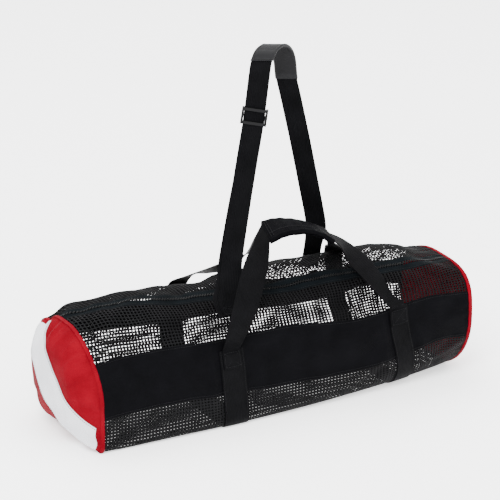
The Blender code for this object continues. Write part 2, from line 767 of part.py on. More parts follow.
def build_under_strap():
    """The strap's second layer, from the slider down behind the first to the same seam."""
    rows = strap_rows()
    frames = []
    for place in range(18):
        at = place / 2
        middle, across, out, width = ribbon_frames(rows, [at])[0]
        behind = STRAP_THICK + GAP + 0.0002
        if at > 2:
            behind += (LAYER_GAP - GAP) * min((at - 2) / 1.5, 1.0)
        shift = LAYER_SHIFT * min(max((6.5 - at) / 3.0, 0.0), 1.0)
        if middle[2] > SLIDER_LEVEL + 0.003:
            break
        frames.append([middle, across, out, width, behind, shift])
    top = min(ribbon_frames(rows, [k / 100 for k in range(600, 1000)]), key=lambda row: abs(row[0][2] - SLIDER_LEVEL - 0.003))
    frames = [row for row in frames if row[0][2] < SLIDER_LEVEL - 0.02]
    bar = STRAP_THICK + 2 * GAP + 0.0021
    for drop in (-0.004, 0.0):
        frames.append([top[0] + np.array([0, 0, drop]), top[1], top[2], top[3], bar, 0.0])
    placed = [(m - o * behind + a * shift, a, o, w) for m, a, o, w, behind, shift in frames]
    ribbon("shoulder_strap_under", placed, STRAP_THICK, "black_webbing")


def box_mesh(name, frame, boxes, colour):
    """Joined boxes in a frame of middle, across, out, up. Each box is its low and high corner."""
    middle, across, out, up = frame
    parts = []
    for number, (low, high) in enumerate(boxes):
        shape = bmesh.new()
        bmesh.ops.create_cube(shape, size=1.0)
        for vert in shape.verts:
            place = [low[k] + (high[k] - low[k]) * (vert.co[k] + 0.5) for k in range(3)]
            vert.co = tuple(middle + across * place[0] + out * place[1] + up * place[2])
        bmesh.ops.recalc_face_normals(shape, faces=shape.faces)
        mesh = bpy.data.meshes.new(name)
        shape.to_mesh(mesh)
        shape.free()
        part = bpy.data.objects.new(name if number == 0 else name + "_piece_" + str(number), mesh)
        (bag if number == 0 else cutters).objects.link(part)
        parts.append(part)
    main = parts[0]
    for part in parts[1:]:
        part.hide_render = True
        part.display_type = "WIRE"
        join = main.modifiers.new("join", "BOOLEAN")
        join.operation = "UNION"
        join.solver = "EXACT"
        join.object = part
    main.data.materials.append(material(name + "_" + colour, *COLOURS[colour]))
    return main


def build_slider():
    """Two outer bars in front of the strap, a middle bar behind it, and two rails."""
    frames = ribbon_frames(strap_rows(), [k / 100 for k in range(600, 1000)])
    middle, across, out, _ = min(frames, key=lambda row: abs(row[0][2] - SLIDER_LEVEL))
    up = np.cross(out, across)
    wide = SLIDER_WIDTH / 2
    tall = SLIDER_HEIGHT / 2
    face = 0.5 * STRAP_THICK + GAP
    rail = wide - 0.0040
    boxes = (
        ((-wide, -face - 0.0022, -tall), (-rail, face + 0.0030, tall)),
        ((rail, -face - 0.0022, -tall), (wide, face + 0.0030, tall)),
        ((-wide + 0.001, face, tall - 0.0055), (wide - 0.001, face + 0.0028, tall - 0.0002)),
        ((-wide + 0.001, face, -tall + 0.0002), (wide - 0.001, face + 0.0028, -tall + 0.0055)),
        ((-wide + 0.001, -face - 0.0020, -0.0022), (wide - 0.001, -face, 0.0022)),
    )
    box_mesh("strap_slider", (middle, across, out, up), boxes, "black_plastic")


def build_pad():
    """A flat padded sleeve round the top of the shoulder strap."""
    rings = []
    wide = PAD_WIDTH / 2
    deep = PAD_DEPTH / 2
    corner = 0.0022
    section = (
        (-wide, -deep + corner),
        (-wide + corner, -deep),
        (wide - corner, -deep),
        (wide, -deep + corner),
        (wide, deep - corner),
        (wide - corner, deep),
        (-wide + corner, deep),
        (-wide, deep - corner),
    )
    slot_wide = wide - PAD_WALL
    slot_deep = 0.5 * STRAP_THICK + GAP + 0.0002
    slot = ((-slot_wide, -slot_deep), (slot_wide, -slot_deep), (slot_wide, slot_deep), (-slot_wide, slot_deep))
    frames = ribbon_frames(strap_rows(), pad_stations())
    outer = [[m + a * u + o * v for u, v in section] for m, a, o, _ in frames]
    inner = [[m + a * u + o * v for u, v in slot] for m, a, o, _ in frames]
    verts = [p for ring in outer for p in ring]
    under = len(verts)
    verts += [p for ring in inner for p in ring]
    faces = []
    for i in range(len(frames) - 1):
        for j in range(8):
            k = (j + 1) % 8
            faces.append((i * 8 + j, i * 8 + k, i * 8 + 8 + k, i * 8 + 8 + j))
        for j in range(4):
            k = (j + 1) % 4
            a = under + i * 4
            faces += [(a + j, a + 4 + k, a + k), (a + j, a + 4 + j, a + 4 + k)]
    for ring in (0, len(frames) - 1):
        a = ring * 8
        b = under + ring * 4
        faces.append((a + 0, a + 1, b + 0))
        faces.append((a + 1, a + 2, b + 1, b + 0))
        faces.append((a + 2, a + 3, b + 1))
        faces.append((a + 3, a + 4, b + 2, b + 1))
        faces.append((a + 4, a + 5, b + 2))
        faces.append((a + 5, a + 6, b + 3, b + 2))
        faces.append((a + 6, a + 7, b + 3))
        faces.append((a + 7, a + 0, b + 0, b + 3))
    add_object("shoulder_pad", verts, faces, "black_cloth")


def build_zip_slider():
    """The zip's slider with its pull lying back along the zip."""
    share = 0.43
    around = seam("zip", share)
    middle = lifted(share, around, 0.0008 + GAP)
    ahead = lifted(share + 0.01, seam("zip", share + 0.01), 0.0008 + GAP)
    along = ahead - middle
    along /= np.linalg.norm(along)
    out = skin_normal(share, around)
    out = out - along * np.dot(out, along)
    out /= np.linalg.norm(out)
    across = np.cross(along, out)
    boxes = (
        ((-0.0045, 0.0002, -0.0060), (0.0045, 0.0042, 0.0060)),
        ((-0.0030, 0.0034, -0.0340), (0.0030, 0.0052, 0.0030)),
    )
    box_mesh("zip_slider", (middle, across, out, along), boxes, "black_plastic")


def centre_on_origin():
    """Moves the whole bag so that the middle of its footprint is the origin."""
    corners = [place.matrix_world @ vert.co for place in bag.objects for vert in place.data.vertices]
    shift = [-(max(c[k] for c in corners) + min(c[k] for c in corners)) / 2 for k in (0, 1)]
    for place in list(bag.objects) + list(cutters.objects):
        place.location.x += shift[0]
        place.location.y += shift[1]


clear_scene()
bag = bpy.data.collections.new("mesh_dive_gear_bag")
bpy.context.scene.collection.children.link(bag)
cutters = bpy.data.collections.new("joined_pieces")
bpy.context.scene.collection.children.link(cutters)
for piece, colour in WALLS.items():
    build_wall(piece, colour)
for end in CAPS:
    build_cap(end)
    build_stripe(end)
    build_binding(end)
for place in BELLY:
    build_belly(place)
build_handle("handle_front", False)
build_handle("handle_back", True)
build_wrap()
build_strap()
build_under_strap()
build_slider()
build_pad()
build_zip_slider()
centre_on_origin()
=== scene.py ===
"""Mesh dive gear bag, dressed over the CAD frame: open net, woven cloth, webbing, zip teeth and stitches."""

import functools
import math

import bmesh
import bpy
import numpy as np
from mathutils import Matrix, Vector


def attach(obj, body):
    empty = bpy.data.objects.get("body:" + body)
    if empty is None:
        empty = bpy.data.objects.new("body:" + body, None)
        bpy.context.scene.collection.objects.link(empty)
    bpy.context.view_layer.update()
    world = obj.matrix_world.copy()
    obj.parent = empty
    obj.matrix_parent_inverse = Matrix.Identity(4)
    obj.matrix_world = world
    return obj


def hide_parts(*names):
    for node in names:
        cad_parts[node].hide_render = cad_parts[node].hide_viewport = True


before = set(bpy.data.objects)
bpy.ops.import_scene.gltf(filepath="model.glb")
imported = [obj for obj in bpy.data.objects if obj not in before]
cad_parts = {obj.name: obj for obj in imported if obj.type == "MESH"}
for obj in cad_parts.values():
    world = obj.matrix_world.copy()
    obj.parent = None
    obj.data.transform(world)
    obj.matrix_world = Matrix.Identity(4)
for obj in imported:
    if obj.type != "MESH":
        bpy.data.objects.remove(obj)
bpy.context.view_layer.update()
bpy.ops.object.select_all(action="DESELECT")

# Main sizes
LENGTH = 0.745  # from end seam to end seam
CLOTH = 0.0015  # wall of the net and of the cloth bands
GAP = 0.0003  # between pieces that are sewn together
FLOOR_LIFT = 0.0018  # the belly straps lie under the body
WEBBING_THICK = 0.0015
BINDING = 0.003  # how far the bound rim of an end seam reaches over the body
COIL = 0.006  # width of the zip's coil
TAPE = 0.012  # width of each side of the zip's tape
TAPE_THICK = 0.0010
GIRTH = 0.765  # round the body at its middle, for the run of the weave and of the ripples
OUTLINE_STEPS = 720  # round each cross section
FLAT_UNDER = 1.06  # the low half runs this much past the floor, where it is cut flat
FADE_LOW = (0.015, 0.030)  # height at which folds and straps start to shape the skin, and their fade

# The body's cross sections. share: place along the length from the left seam. front, back: half widths.
# height: top above the floor. level: height of the widest line. The last four are how boxy each quarter is,
# where 2 is round.
SECTION_COLUMNS = (
    *("share", "front", "back", "height", "level"),
    *("low_front", "low_back", "top_front", "top_back"),
)
SECTIONS = (
    (0.0, 0.119, 0.118, 0.206, 0.1, 12.0, 2.6, 1.7, 3.2),
    (0.06, 0.121, 0.12, 0.224, 0.1, 11.0, 2.8, 1.75, 2.8),
    (0.15, 0.122, 0.121, 0.233, 0.1, 10.0, 3.0, 1.8, 2.4),
    (0.33, 0.121, 0.121, 0.234, 0.1, 9.0, 3.0, 1.9, 2.2),
    (0.5, 0.119, 0.12, 0.238, 0.104, 7.0, 3.0, 1.95, 2.2),
    (0.7, 0.117, 0.119, 0.243, 0.11, 4.4, 2.8, 2.1, 2.1),
    (0.85, 0.116, 0.118, 0.242, 0.115, 3.0, 2.4, 2.6, 2.1),
    (1.0, 0.114, 0.115, 0.215, 0.118, 1.9, 2.2, 3.6, 2.2),
)

# How the long seams run. zip: how far the zip lies to the front of the top. panel_top, panel_base: edges of
# the front cloth band, counted from the top. All are shares of the girth.
SEAM_COLUMNS = ("share", "zip", "panel_top", "panel_base")
SEAMS = (
    (0.0, -0.055, 0.132, 0.271),
    (0.1, -0.004, 0.142, 0.274),
    (0.2, 0.02, 0.148, 0.278),
    (0.35, 0.04, 0.154, 0.286),
    (0.5, 0.057, 0.156, 0.295),
    (0.7, 0.068, 0.181, 0.308),
    (0.8, 0.076, 0.178, 0.308),
    (0.9, 0.078, 0.171, 0.291),
    (1.0, 0.045, 0.173, 0.298),
)

BACK_BAND = 0.60  # share of the front cloth band's width that the back one has, down from the same top edge

# How the axis runs. turn: how far each section is turned about the vertical, in degrees.
AXIS_COLUMNS = ("share", "aside", "turn")
AXIS = (
    (0.0, 0.007, 5.0),
    (0.5, 0.001, 4.0),
    (1.0, -0.005, 5.0),
)

# Dents and folds of the skin. around: share of the girth, from the top towards the front. long, wide: how far
# each spreads along the length and round the girth, as shares. height: outwards, negative for a dent.
FOLD_COLUMNS = ("share", "around", "long", "wide", "height")
FOLDS = (
    (0.0, -0.105, 0.03, 0.022, -0.012),  # pinch where the zip ends at the left cap
    (0.36, -0.095, 0.035, 0.05, -0.012),  # dent under the back handle
    (0.17, 0.085, 0.06, 0.018, 0.0035),  # long soft folds in the net
    (0.26, 0.115, 0.05, 0.016, -0.004),
    (0.56, 0.11, 0.06, 0.016, 0.0035),
    (0.66, 0.13, 0.04, 0.016, -0.004),
    (0.72, 0.02, 0.05, 0.02, -0.003),
    (0.3, 0.25, 0.018, 0.06, 0.003),  # crease to the left of the left belly strap
    (0.765, 0.255, 0.014, 0.05, 0.003),  # and of the right one
    (0.9, 0.1, 0.06, 0.02, 0.003),
)

# The end caps: place along the length, how far the middle stands out, and how flat it is, where 2 is a dome
CAPS = {"left": (0.0, 0.044, 4.0), "right": (1.0, 0.030, 3.0)}
CAP_THICK = 0.0012
CAP_TURNS = 180  # points round an end
STRIPE_WIDTH = 0.074
STRIPE_THICK = 0.0009
STRIPE_SLOPE = 42.0  # degrees, falling to the right as seen from outside
STRIPE_LIFT = 0.0013  # of its outer face over the red cloth's
STRIPE_REACH = 0.955  # share of the way from the middle to the seam at which it ends
STRIPE_COLUMNS = 15
STRIPE_ROWS = 90

# Under the bag the sections run off to the right, which the belly straps show. shift: share of the length.
UNDER_COLUMNS = ("share", "shift")
UNDER = ((0.0, 0.0), (0.345, 0.010), (0.55, 0.008), (0.80, 0.028), (1.0, 0.0))

# The belly straps. place: share of the length. waist: how far the strap draws the skin in.
BELLY_COLUMNS = ("place", "width", "waist")
BELLY = {"left": (0.345, 0.048, 0.0030), "right": (0.800, 0.038, 0.0030)}
WAIST_RUN = 0.018  # how far beside a belly strap the skin comes back out
WAIST_AROUND = (0.37, 0.08)  # how far round from below a strap draws it in, and the fade, in shares of girth
UNDER_AROUND = (0.30, 0.16)  # and how far round the sections run off to the right
BELLY_TOP = 0.176  # share of the girth at which a belly strap starts, front and back
BOX_LOW = 0.224  # share of the girth down to which a handle's end is sewn on
BOX_HIGH = 0.182
SEWN_WIDTH = 0.036  # of a handle there
SEWN_CLEAR = 0.0002  # added to the gap between layers

# The carry handles' grip, where both run together, from left to right. A row of a path is its middle as x, y
# and z, the direction across it, and its width.
GRIP = (
    (0.014, -0.002, 0.32, -0.1, -0.955, -0.31, 0.046),
    (0.044, 0.0, 0.324, -0.05, -1.0, -0.15, 0.048),
    (0.083, 0.0, 0.3185, 0.0, -1.0, -0.03, 0.048),
    (0.12, 0.0, 0.303, -0.05, -1.0, 0.0, 0.048),
    (0.145, -0.002, 0.287, -0.15, -1.0, -0.02, 0.046),
)
# The free legs of the carry handles, from the end sewn to the belly strap up to the grip.
LEGS = {
    "front_left": (
        (-0.1040, -0.1165, 0.1760, 1.00, 0.00, -0.08, 0.038),
        (-0.0960, -0.1190, 0.2020, 0.98, 0.00, -0.25, 0.044),
        (-0.0770, -0.1060, 0.2330, 0.90, -0.15, -0.42, 0.047),
        (-0.0480, -0.0720, 0.2620, 0.80, -0.42, -0.42, 0.047),
        (-0.0270, -0.0470, 0.2790, 0.60, -0.70, -0.35, 0.046),
        (-0.0060, -0.0230, 0.2980, 0.25, -0.93, -0.20, 0.045),
    ),
    "front_right": (
        (0.2240, -0.1180, 0.1800, -0.92, -0.38, -0.05, 0.037),
        (0.2120, -0.1200, 0.1920, -0.62, -0.75, -0.15, 0.040),
        (0.2015, -0.1145, 0.2100, -0.60, -0.74, -0.29, 0.044),
        (0.1900, -0.1020, 0.2290, -0.66, -0.64, -0.38, 0.045),
        (0.1800, -0.0810, 0.2470, -0.74, -0.58, -0.34, 0.045),
        (0.1715, -0.0510, 0.2600, -0.78, -0.55, -0.20, 0.045),
        (0.1610, -0.0200, 0.2785, -0.50, -0.85, 0.02, 0.045),
    ),
    "back_left": (
        (-0.1180, 0.1120, 0.1800, -1.00, 0.00, 0.05, 0.038),
        (-0.1130, 0.1050, 0.2040, -1.00, -0.20, 0.20, 0.042),
        (-0.0980, 0.0900, 0.2200, -0.75, -0.60, 0.25, 0.044),
        (-0.0680, 0.0710, 0.2310, -0.42, -0.70, 0.55, 0.045),
        (-0.0320, 0.0520, 0.2450, -0.30, -0.62, 0.70, 0.045),
        (-0.0080, 0.0310, 0.2700, -0.33, -0.85, 0.38, 0.044),
        (0.0030, 0.0110, 0.2970, -0.25, -0.95, -0.12, 0.044),
    ),
    "back_right": (
        (0.2120, 0.1120, 0.1900, 1.00, 0.00, 0.00, 0.038),
        (0.2110, 0.1040, 0.2100, 1.00, -0.15, 0.00, 0.040),
        (0.2050, 0.0860, 0.2270, 0.95, -0.30, 0.00, 0.041),
        (0.1930, 0.0560, 0.2400, 0.90, -0.40, 0.00, 0.042),
        (0.1780, 0.0260, 0.2500, 0.75, -0.65, 0.00, 0.043),
        (0.1640, 0.0060, 0.2590, 0.35, -0.90, -0.05, 0.044),
    ),
}
GRIP_STATIONS = 9
HANDLE_CUP = 0.0003  # how far a handle's edges bend back
WRAP_WIDTH = 0.0525
WRAP_DEPTH = 0.0074
WRAP_WALL = 0.0014
WRAP_ROUND = 0.0018
WRAP_POINTS = 30  # of 24 to a turn

# The shoulder strap, from its left foot over the top to its right foot. It faces the front left.
STRAP = (
    (-0.086, -0.054, 0.232, 0.95, -0.2, 0.0, 0.038),
    (-0.08, -0.048, 0.248, 0.92, -0.35, 0.0, 0.038),
    (-0.063, -0.02, 0.29, 0.9, -0.44, 0.0, 0.038),
    (-0.038, 0.0, 0.38, 0.9, -0.44, -0.15, 0.038),
    (-0.025, 0.0, 0.457, 0.9, -0.44, -0.15, 0.038),
    (-0.011, 0.0, 0.535, 0.9, -0.44, -0.15, 0.038),
    (-0.005, 0.0, 0.578, 0.9, -0.44, -0.15, 0.038),
    (0.003, 0.0, 0.638, 0.9, -0.44, 0.0, 0.038),
    (0.009, 0.002, 0.654, 0.9, -0.44, 0.0, 0.038),
    (0.02, 0.008, 0.666, 0.9, -0.44, 0.0, 0.038),
    (0.038, 0.017, 0.669, 0.9, -0.44, 0.0, 0.038),
    (0.055, 0.025, 0.659, 0.9, -0.44, 0.0, 0.038),
    (0.0665, 0.031, 0.636, 0.9, -0.44, 0.0, 0.038),
    (0.074, 0.037, 0.596, 0.9, -0.44, 0.0, 0.038),
    (0.086, 0.043, 0.5555, 0.9, -0.44, 0.0, 0.038),
    (0.109, 0.05, 0.466, 0.9, -0.44, 0.0, 0.038),
    (0.131, 0.06, 0.38, 0.9, -0.44, 0.0, 0.038),
    (0.154, 0.072, 0.29, 0.92, -0.4, 0.0, 0.038),
    (0.157, 0.079, 0.258, 0.95, -0.2, 0.0, 0.038),
    (0.155, 0.084, 0.233, 1.0, 0.0, 0.0, 0.038),
)
STRAP_THICK = 0.0016
STRAP_WIDTH = 0.038
FOOT_ROWS = 3  # of the path on a sewn end
STRAP_FEET = {"left": (0.377, 0.082, 0.106), "right": (0.714, -0.128, -0.152)}  # share, and girth from and to
LAYER_GAP = 0.0010  # between the strap and the layer behind it
LAYER_SHIFT = -0.010  # the layer behind stands out to the left by this much near the foot
SLIDER_LEVEL = 0.5480
PAD_SPAN = (7.6, 13.0)  # rows of the strap's path between which the pad lies
PAD_WIDTH = 0.0410
PAD_DEPTH = 0.0064
PAD_POINTS = 56
PAD_RIM = 0.0008  # height of the bound edges of the pad

# The middle of the footprint, from which the frame counts
SHIFT = np.array([0.0072787, 0.0045521, 0.0])

ALONG_STEPS = 180  # of the skin's own table of points
ROUND_STEPS = 360
CAP_CREASES = (  # angle round the end, how far in it runs, depth
    (1.25, 0.32, 0.005),
    (2.2, 0.22, 0.003),
    (-0.62, 0.3, 0.0045),
    (-1.35, 0.24, 0.0036),
    (-2.45, 0.26, 0.0036),
    (0.35, 0.2, 0.0028),
    (3.0, 0.24, 0.003),
)
NET_PITCH = 0.0062  # along the bag
NET_ROUND = {"net_top_front": 0.0043, "net_top_back": 0.0043, "net_bottom": 0.0056}  # round the bag
NET_OPEN = {"net_top_front": 0.65, "net_top_back": 0.64, "net_bottom": 0.50}  # share of the pitch
NET_THICK = 0.0014
YARN_ROUND = 0.0004  # how far a yarn falls off from its middle to the edge of a hole
STITCH_PITCH = 0.0044
STITCH_HALVES = (0.0016, 0.00035, 0.00030)  # along, across and out
ZIP_RUN = (0.006, 0.994)  # shares of the length between which the teeth run
ZIP_TEETH = 300
TOOTH_ASIDE = 0.0011  # from the zip's line
TOOTH_HALVES = (0.0010, 0.0019, 0.0010)
WALL_ROWS = 181
BAND_COLUMNS = 33
TAPE_COLUMNS = 7
BELLY_ROWS = 150
BELLY_COUNT = 9
RIM_POINTS = 12  # round the section of the bound rim
RIM_ROWS = 240
RIM_REACH = (0.0036, 0.0042)  # over the body and over the end
RIM_OUT = (0.00035, 0.00105)  # middle of its section over the skin, and half its thickness
SMOOTH_ANGLE = 40.0  # edges that turn by less are shaded smooth
LOFT_ANGLE = 50.0
CORNER_ANGLE = 50.0

# The camera of the photo: place, turn about Z, height of view, and its lens for a 36 mm wide picture
CAMERA_PLACE = (-2.01454, -4.10518, 2.23073)
CAMERA_AROUND = 26.0
CAMERA_UP = 23.0
CAMERA_LENS = 196.2

WORLD_LIGHT = 2.6
FLOOR_GLOW = 0.9
FLOOR_COLOUR = (0.93, 0.93, 0.935, 1.0)
WHITE_LIGHT = (1.0, 1.0, 1.0, 1.0)
LIGHT_AIM = Vector((0.0, 0.0, 0.15))
LIGHTS = (  # name, place, size, power
    ("key", (-1.8, -2.0, 3.4), 2.0, 260.0),
    ("fill", (2.6, -1.4, 2.4), 2.6, 60.0),
    ("top", (0.2, 1.4, 3.4), 3.0, 160.0),
)

WAVE_SCALE = 0.314  # the scale of a wave texture is this over its pitch
CLOTHS = {  # colour, colour of the wear, roughness, pitches of the weave, its depth, gloss, creases
    "net_yarn": ((0.0013, 0.0013, 0.0016), (0.0032, 0.0032, 0.0037), 0.55, (0.0008, 0.0008), 0.5, 0.14),
    "coated_cloth": ((0.0012, 0.0012, 0.0016), (0.002, 0.002, 0.0026), 0.62, (0.0007, 0.0007), 0.4, 0.04),
    "red_nylon": ((0.098, 0.0, 0.0036), (0.14, 0.0001, 0.0056), 0.6, (0.0007, 0.0007), 0.35, 0.05, 0.45),
    "white_nylon": ((0.5, 0.505, 0.53), (0.6, 0.605, 0.63), 0.6, (0.0007, 0.0007), 0.35, 0.1, 0.25),
    "ribbed_webbing": ((0.0014, 0.0014, 0.0017), (0.0026, 0.0026, 0.0031), 0.5, (0.0016, 0.003), 1.0, 0.05),
    "zip_tape": ((0.0012, 0.0019, 0.0025), (0.0026, 0.0038, 0.0048), 0.6, (0.001, 0.001), 0.6, 0.05),
    "thread": ((0.004, 0.004, 0.0046), (0.007, 0.007, 0.008), 0.5, (0.0006, 0.0006), 0.6, 0.15),
    "padded_cloth": ((0.0022, 0.0022, 0.0027), (0.004, 0.004, 0.0048), 0.34, (0.0009, 0.0009), 0.5, 0.3),
}
PLASTICS = {  # colour, roughness, gloss
    "moulded_plastic": ((0.0012, 0.0012, 0.0015), 0.4, 0.12),
    "zip_teeth": ((0.0014, 0.0015, 0.0018), 0.42, 0.1),
}


def clamped(value):
    return min(max(value, 0.0), 1.0)


def smooth_value(table, places, at):
    """The table's row at this place, on a smooth curve through its rows."""
    at = min(max(at, places[0]), places[-1])
    after = int(np.clip(np.searchsorted(places, at, side="right"), 1, len(places) - 1))
    slopes = np.gradient(table, places, axis=0)
    step = places[after] - places[after - 1]
    part = (at - places[after - 1]) / step
    return (
        table[after - 1] * (2 * part**3 - 3 * part**2 + 1)
        + slopes[after - 1] * step * (part**3 - 2 * part**2 + part)
        + table[after] * (3 * part**2 - 2 * part**3)
        + slopes[after] * step * (part**3 - part**2)
    )


@functools.lru_cache(maxsize=None)
def curve_through(columns, rows, share):
    """The table's values at this share of the length, as a dict."""
    table = np.array(rows)
    return dict(zip(columns, smooth_value(table, table[:, 0], share)))


@functools.lru_cache(maxsize=None)
def outline(share):
    """The section at this share, from the top towards the front: y, z, outward normal and running length."""
    size = curve_through(SECTION_COLUMNS, SECTIONS, share)
    angle = np.linspace(0, 2 * math.pi, OUTLINE_STEPS + 1)
    to_front = np.sin(angle)
    up = np.cos(angle)
    front = to_front >= 0
    high = up >= 0
    power = np.where(
        front,
        np.where(high, size["top_front"], size["low_front"]),
        np.where(high, size["top_back"], size["low_back"]),
    )
    reach = np.abs(to_front) ** (2 / power)
    rise = np.abs(up) ** (2 / power)
    y = np.where(front, -size["front"] * reach, size["back"] * reach)
    above = (size["height"] - size["level"]) * rise
    z = size["level"] + np.where(high, above, -FLAT_UNDER * size["level"] * rise)
    z = np.maximum(z, 0.0) + FLOOR_LIFT
    run = np.concatenate([[0.0], np.cumsum(np.hypot(np.diff(y), np.diff(z)))])
    even = np.linspace(0, run[-1], OUTLINE_STEPS + 1)
    y = np.interp(even, run, y)
    z = np.interp(even, run, z)
    y_step = np.roll(y[:-1], -2) - np.roll(y[:-1], 2)
    z_step = np.roll(z[:-1], -2) - np.roll(z[:-1], 2)
    length = np.hypot(y_step, z_step)
    normal_y = np.append(z_step / length, (z_step / length)[0])
    normal_z = np.append(-y_step / length, (-y_step / length)[0])
    return y, z, normal_y, normal_z, run[-1]


def girth(share):
    return outline(share)[4]


def fold_height(share, around):
    """How far the skin stands out here from its plain section."""
    total = 0.0
    for fold in FOLDS:
        row = dict(zip(FOLD_COLUMNS, fold))
        apart = (around - row["around"] + 0.5) % 1.0 - 0.5
        reach = ((share - row["share"]) / row["long"]) ** 2 + (apart / row["wide"]) ** 2
        total += row["height"] * math.exp(-reach)
    return total


def waist(share, around):
    """How far the belly straps draw the skin in here, and how much of the folds they leave."""
    reach = clamped((WAIST_AROUND[0] - abs((around % 1.0) - 0.5)) / WAIST_AROUND[1])
    depth = 0.0
    left = 1.0
    for row in BELLY.values():
        strap = dict(zip(BELLY_COLUMNS, row))
        beyond = abs(share - strap["place"]) * LENGTH - strap["width"] / 2 - 0.001
        part = clamped(1 - beyond / WAIST_RUN)
        part = part * part * (3 - 2 * part) * reach
        depth += strap["waist"] * part
        left -= part
    return depth, left


def true_share(share, around):
    """The share of the length at which this section really runs here."""
    part = clamped((UNDER_AROUND[0] - abs((around % 1.0) - 0.5)) / UNDER_AROUND[1])
    shift = curve_through(UNDER_COLUMNS, UNDER, share)["shift"]
    return clamped(share + shift * part * part * (3 - 2 * part))


def skin_point(share, around):
    """A point of the body's outer surface. around is a share of the girth, from the top towards the front."""
    real = true_share(share, around)
    y, z, normal_y, normal_z, _ = outline(real)
    place = (around % 1.0) * OUTLINE_STEPS
    first = int(place)
    part = place - first
    second = min(first + 1, OUTLINE_STEPS)
    y_here = y[first] * (1 - part) + y[second] * part
    z_here = z[first] * (1 - part) + z[second] * part
    above = clamped((z_here - FADE_LOW[0]) / FADE_LOW[1])
    depth, left = waist(share, around)
    out = (fold_height(share, around) * left - depth) * above
    y_here += out * (normal_y[first] * (1 - part) + normal_y[second] * part)
    z_here += out * (normal_z[first] * (1 - part) + normal_z[second] * part)
    axis = curve_through(AXIS_COLUMNS, AXIS, real)
    x_here = (real - 0.5) * LENGTH - y_here * math.tan(math.radians(axis["turn"]))
    return np.array([x_here, y_here + axis["aside"], z_here])


@functools.lru_cache(maxsize=None)
def skin_normal(share, around):
    """The outward normal of the body's outer surface."""
    small = 0.004
    along = skin_point(min(share + small, 1.0), around) - skin_point(max(share - small, 0.0), around)
    round_it = skin_point(share, around + small) - skin_point(share, around - small)
    normal = np.cross(round_it, along)
    return normal / np.linalg.norm(normal)


def seam(name, share):
    return curve_through(SEAM_COLUMNS, SEAMS, share)[name]


def wall_span(piece, share):
    """Where a wall of the body starts and ends at this share, as shares of the girth."""
    whole = girth(share)
    line = seam("zip", share)
    coil = COIL / 2 / whole
    side = (COIL / 2 + TAPE) / whole
    top = seam("panel_top", share)
    base = seam("panel_base", share)
    back_base = top + BACK_BAND * (base - top)
    return {
        "zip_tape_front": (line + coil, line + side),
        "net_top_front": (line + side, top),
        "panel_front": (top, base),
        "net_bottom": (base, 1 - back_base),
        "panel_back": (1 - back_base, 1 - top),
        "net_top_back": (1 - top, 1 + line - side),
        "zip_tape_back": (1 + line - side, 1 + line - coil),
    }[piece]


def sewn_row(share, around, width, lift, flip):
    """A row of a webbing's path that lies on the body's skin. flip turns the direction across."""
    half = width / 2 / LENGTH
    parts = [skin_point(share + half * part, around) for part in (-1.0, -0.5, 0.0, 0.5, 1.0)]
    out = skin_normal(share, around)
    across = parts[-1] - parts[0]
    across = across - out * np.dot(across, out)
    across /= np.linalg.norm(across)
    middle = parts[2]
    highest = max(np.dot(part - middle, out) for part in parts)
    return (*(middle + out * (highest + lift)), *(across * flip), width)


def ribbon_frames(rows, stations):
    """Places along a path with the direction across and out at each, from rows of the path's columns."""
    table = np.array(rows, float)
    places = np.arange(len(table), dtype=float)
    frames = []
    for at in stations:
        row = smooth_value(table, places, at)
        ahead = smooth_value(table, places, min(at + 0.02, places[-1]))
        behind = smooth_value(table, places, max(at - 0.02, 0.0))
        across = row[3:6] / np.linalg.norm(row[3:6])
        out = np.cross(across, ahead[:3] - behind[:3])
        frames.append((row[:3], across, out / np.linalg.norm(out), row[6]))
    return frames


def path_frames(rows):
    """Frames all along a path, six to each of its rows."""
    last = len(rows) - 1
    return ribbon_frames(rows, np.linspace(0, last, 6 * last + 1))


def grip_frames():
    """Frames along the middle of the carry handles' grip."""
    last = len(GRIP) - 1
    return ribbon_frames(GRIP, [last * i / (GRIP_STATIONS - 1) for i in range(GRIP_STATIONS)])


def sewn_end(side, back, flip):
    """The rows of a handle's end where it lies on the belly strap, from its tip upwards."""
    share = BELLY[side][0]
    lift = 2 * GAP + 1.5 * WEBBING_THICK + SEWN_CLEAR
    rows = []
    for part in (0.0, 0.25, 0.5, 0.75, 1.0):
        around = BOX_LOW + (BOX_HIGH - BOX_LOW) * part
        rows.append(sewn_row(share, -around if back else around, SEWN_WIDTH, lift, flip))
    return rows


def foot_rows(side, lift):
    """The rows of the shoulder strap's end where it is sewn to the net, from its tip inwards."""
    share, near, far = STRAP_FEET[side]
    rows = []
    for part in np.linspace(0.0, 1.0, FOOT_ROWS):
        rows.append(sewn_row(share, far + (near - far) * part, STRAP_WIDTH, lift, 1.0))
    return rows


def strap_rows():
    """The path of the whole shoulder strap, both sewn ends included."""
    layers = 2 * GAP + 1.5 * STRAP_THICK + 2 * SEWN_CLEAR
    single = GAP + 0.5 * STRAP_THICK + SEWN_CLEAR
    return foot_rows("left", layers) + list(STRAP) + foot_rows("right", single)[::-1]


def surface_normals(points):
    """The outward normals of a table of points that closes round the girth."""
    along = np.gradient(points, axis=0)
    ring = (np.roll(points[:, :-1], -1, axis=1) - np.roll(points[:, :-1], 1, axis=1)) / 2
    ring = np.concatenate([ring, ring[:, :1]], axis=1)
    normals = np.cross(ring, along)
    return normals / np.linalg.norm(normals, axis=2, keepdims=True)


def build_skin():
    """Points and outward normals of the whole skin on an even table, folds and wrinkles included."""
    shares = np.linspace(0, 1, ALONG_STEPS + 1)
    arounds = np.linspace(0, 1, ROUND_STEPS + 1)
    points = np.array([[skin_point(share, around) for around in arounds] for share in shares])
    height = ripple(shares[:, None], arounds[None, :], points[:, :, 2])
    points = points + surface_normals(points) * height[:, :, None]
    return points + SHIFT, surface_normals(points)


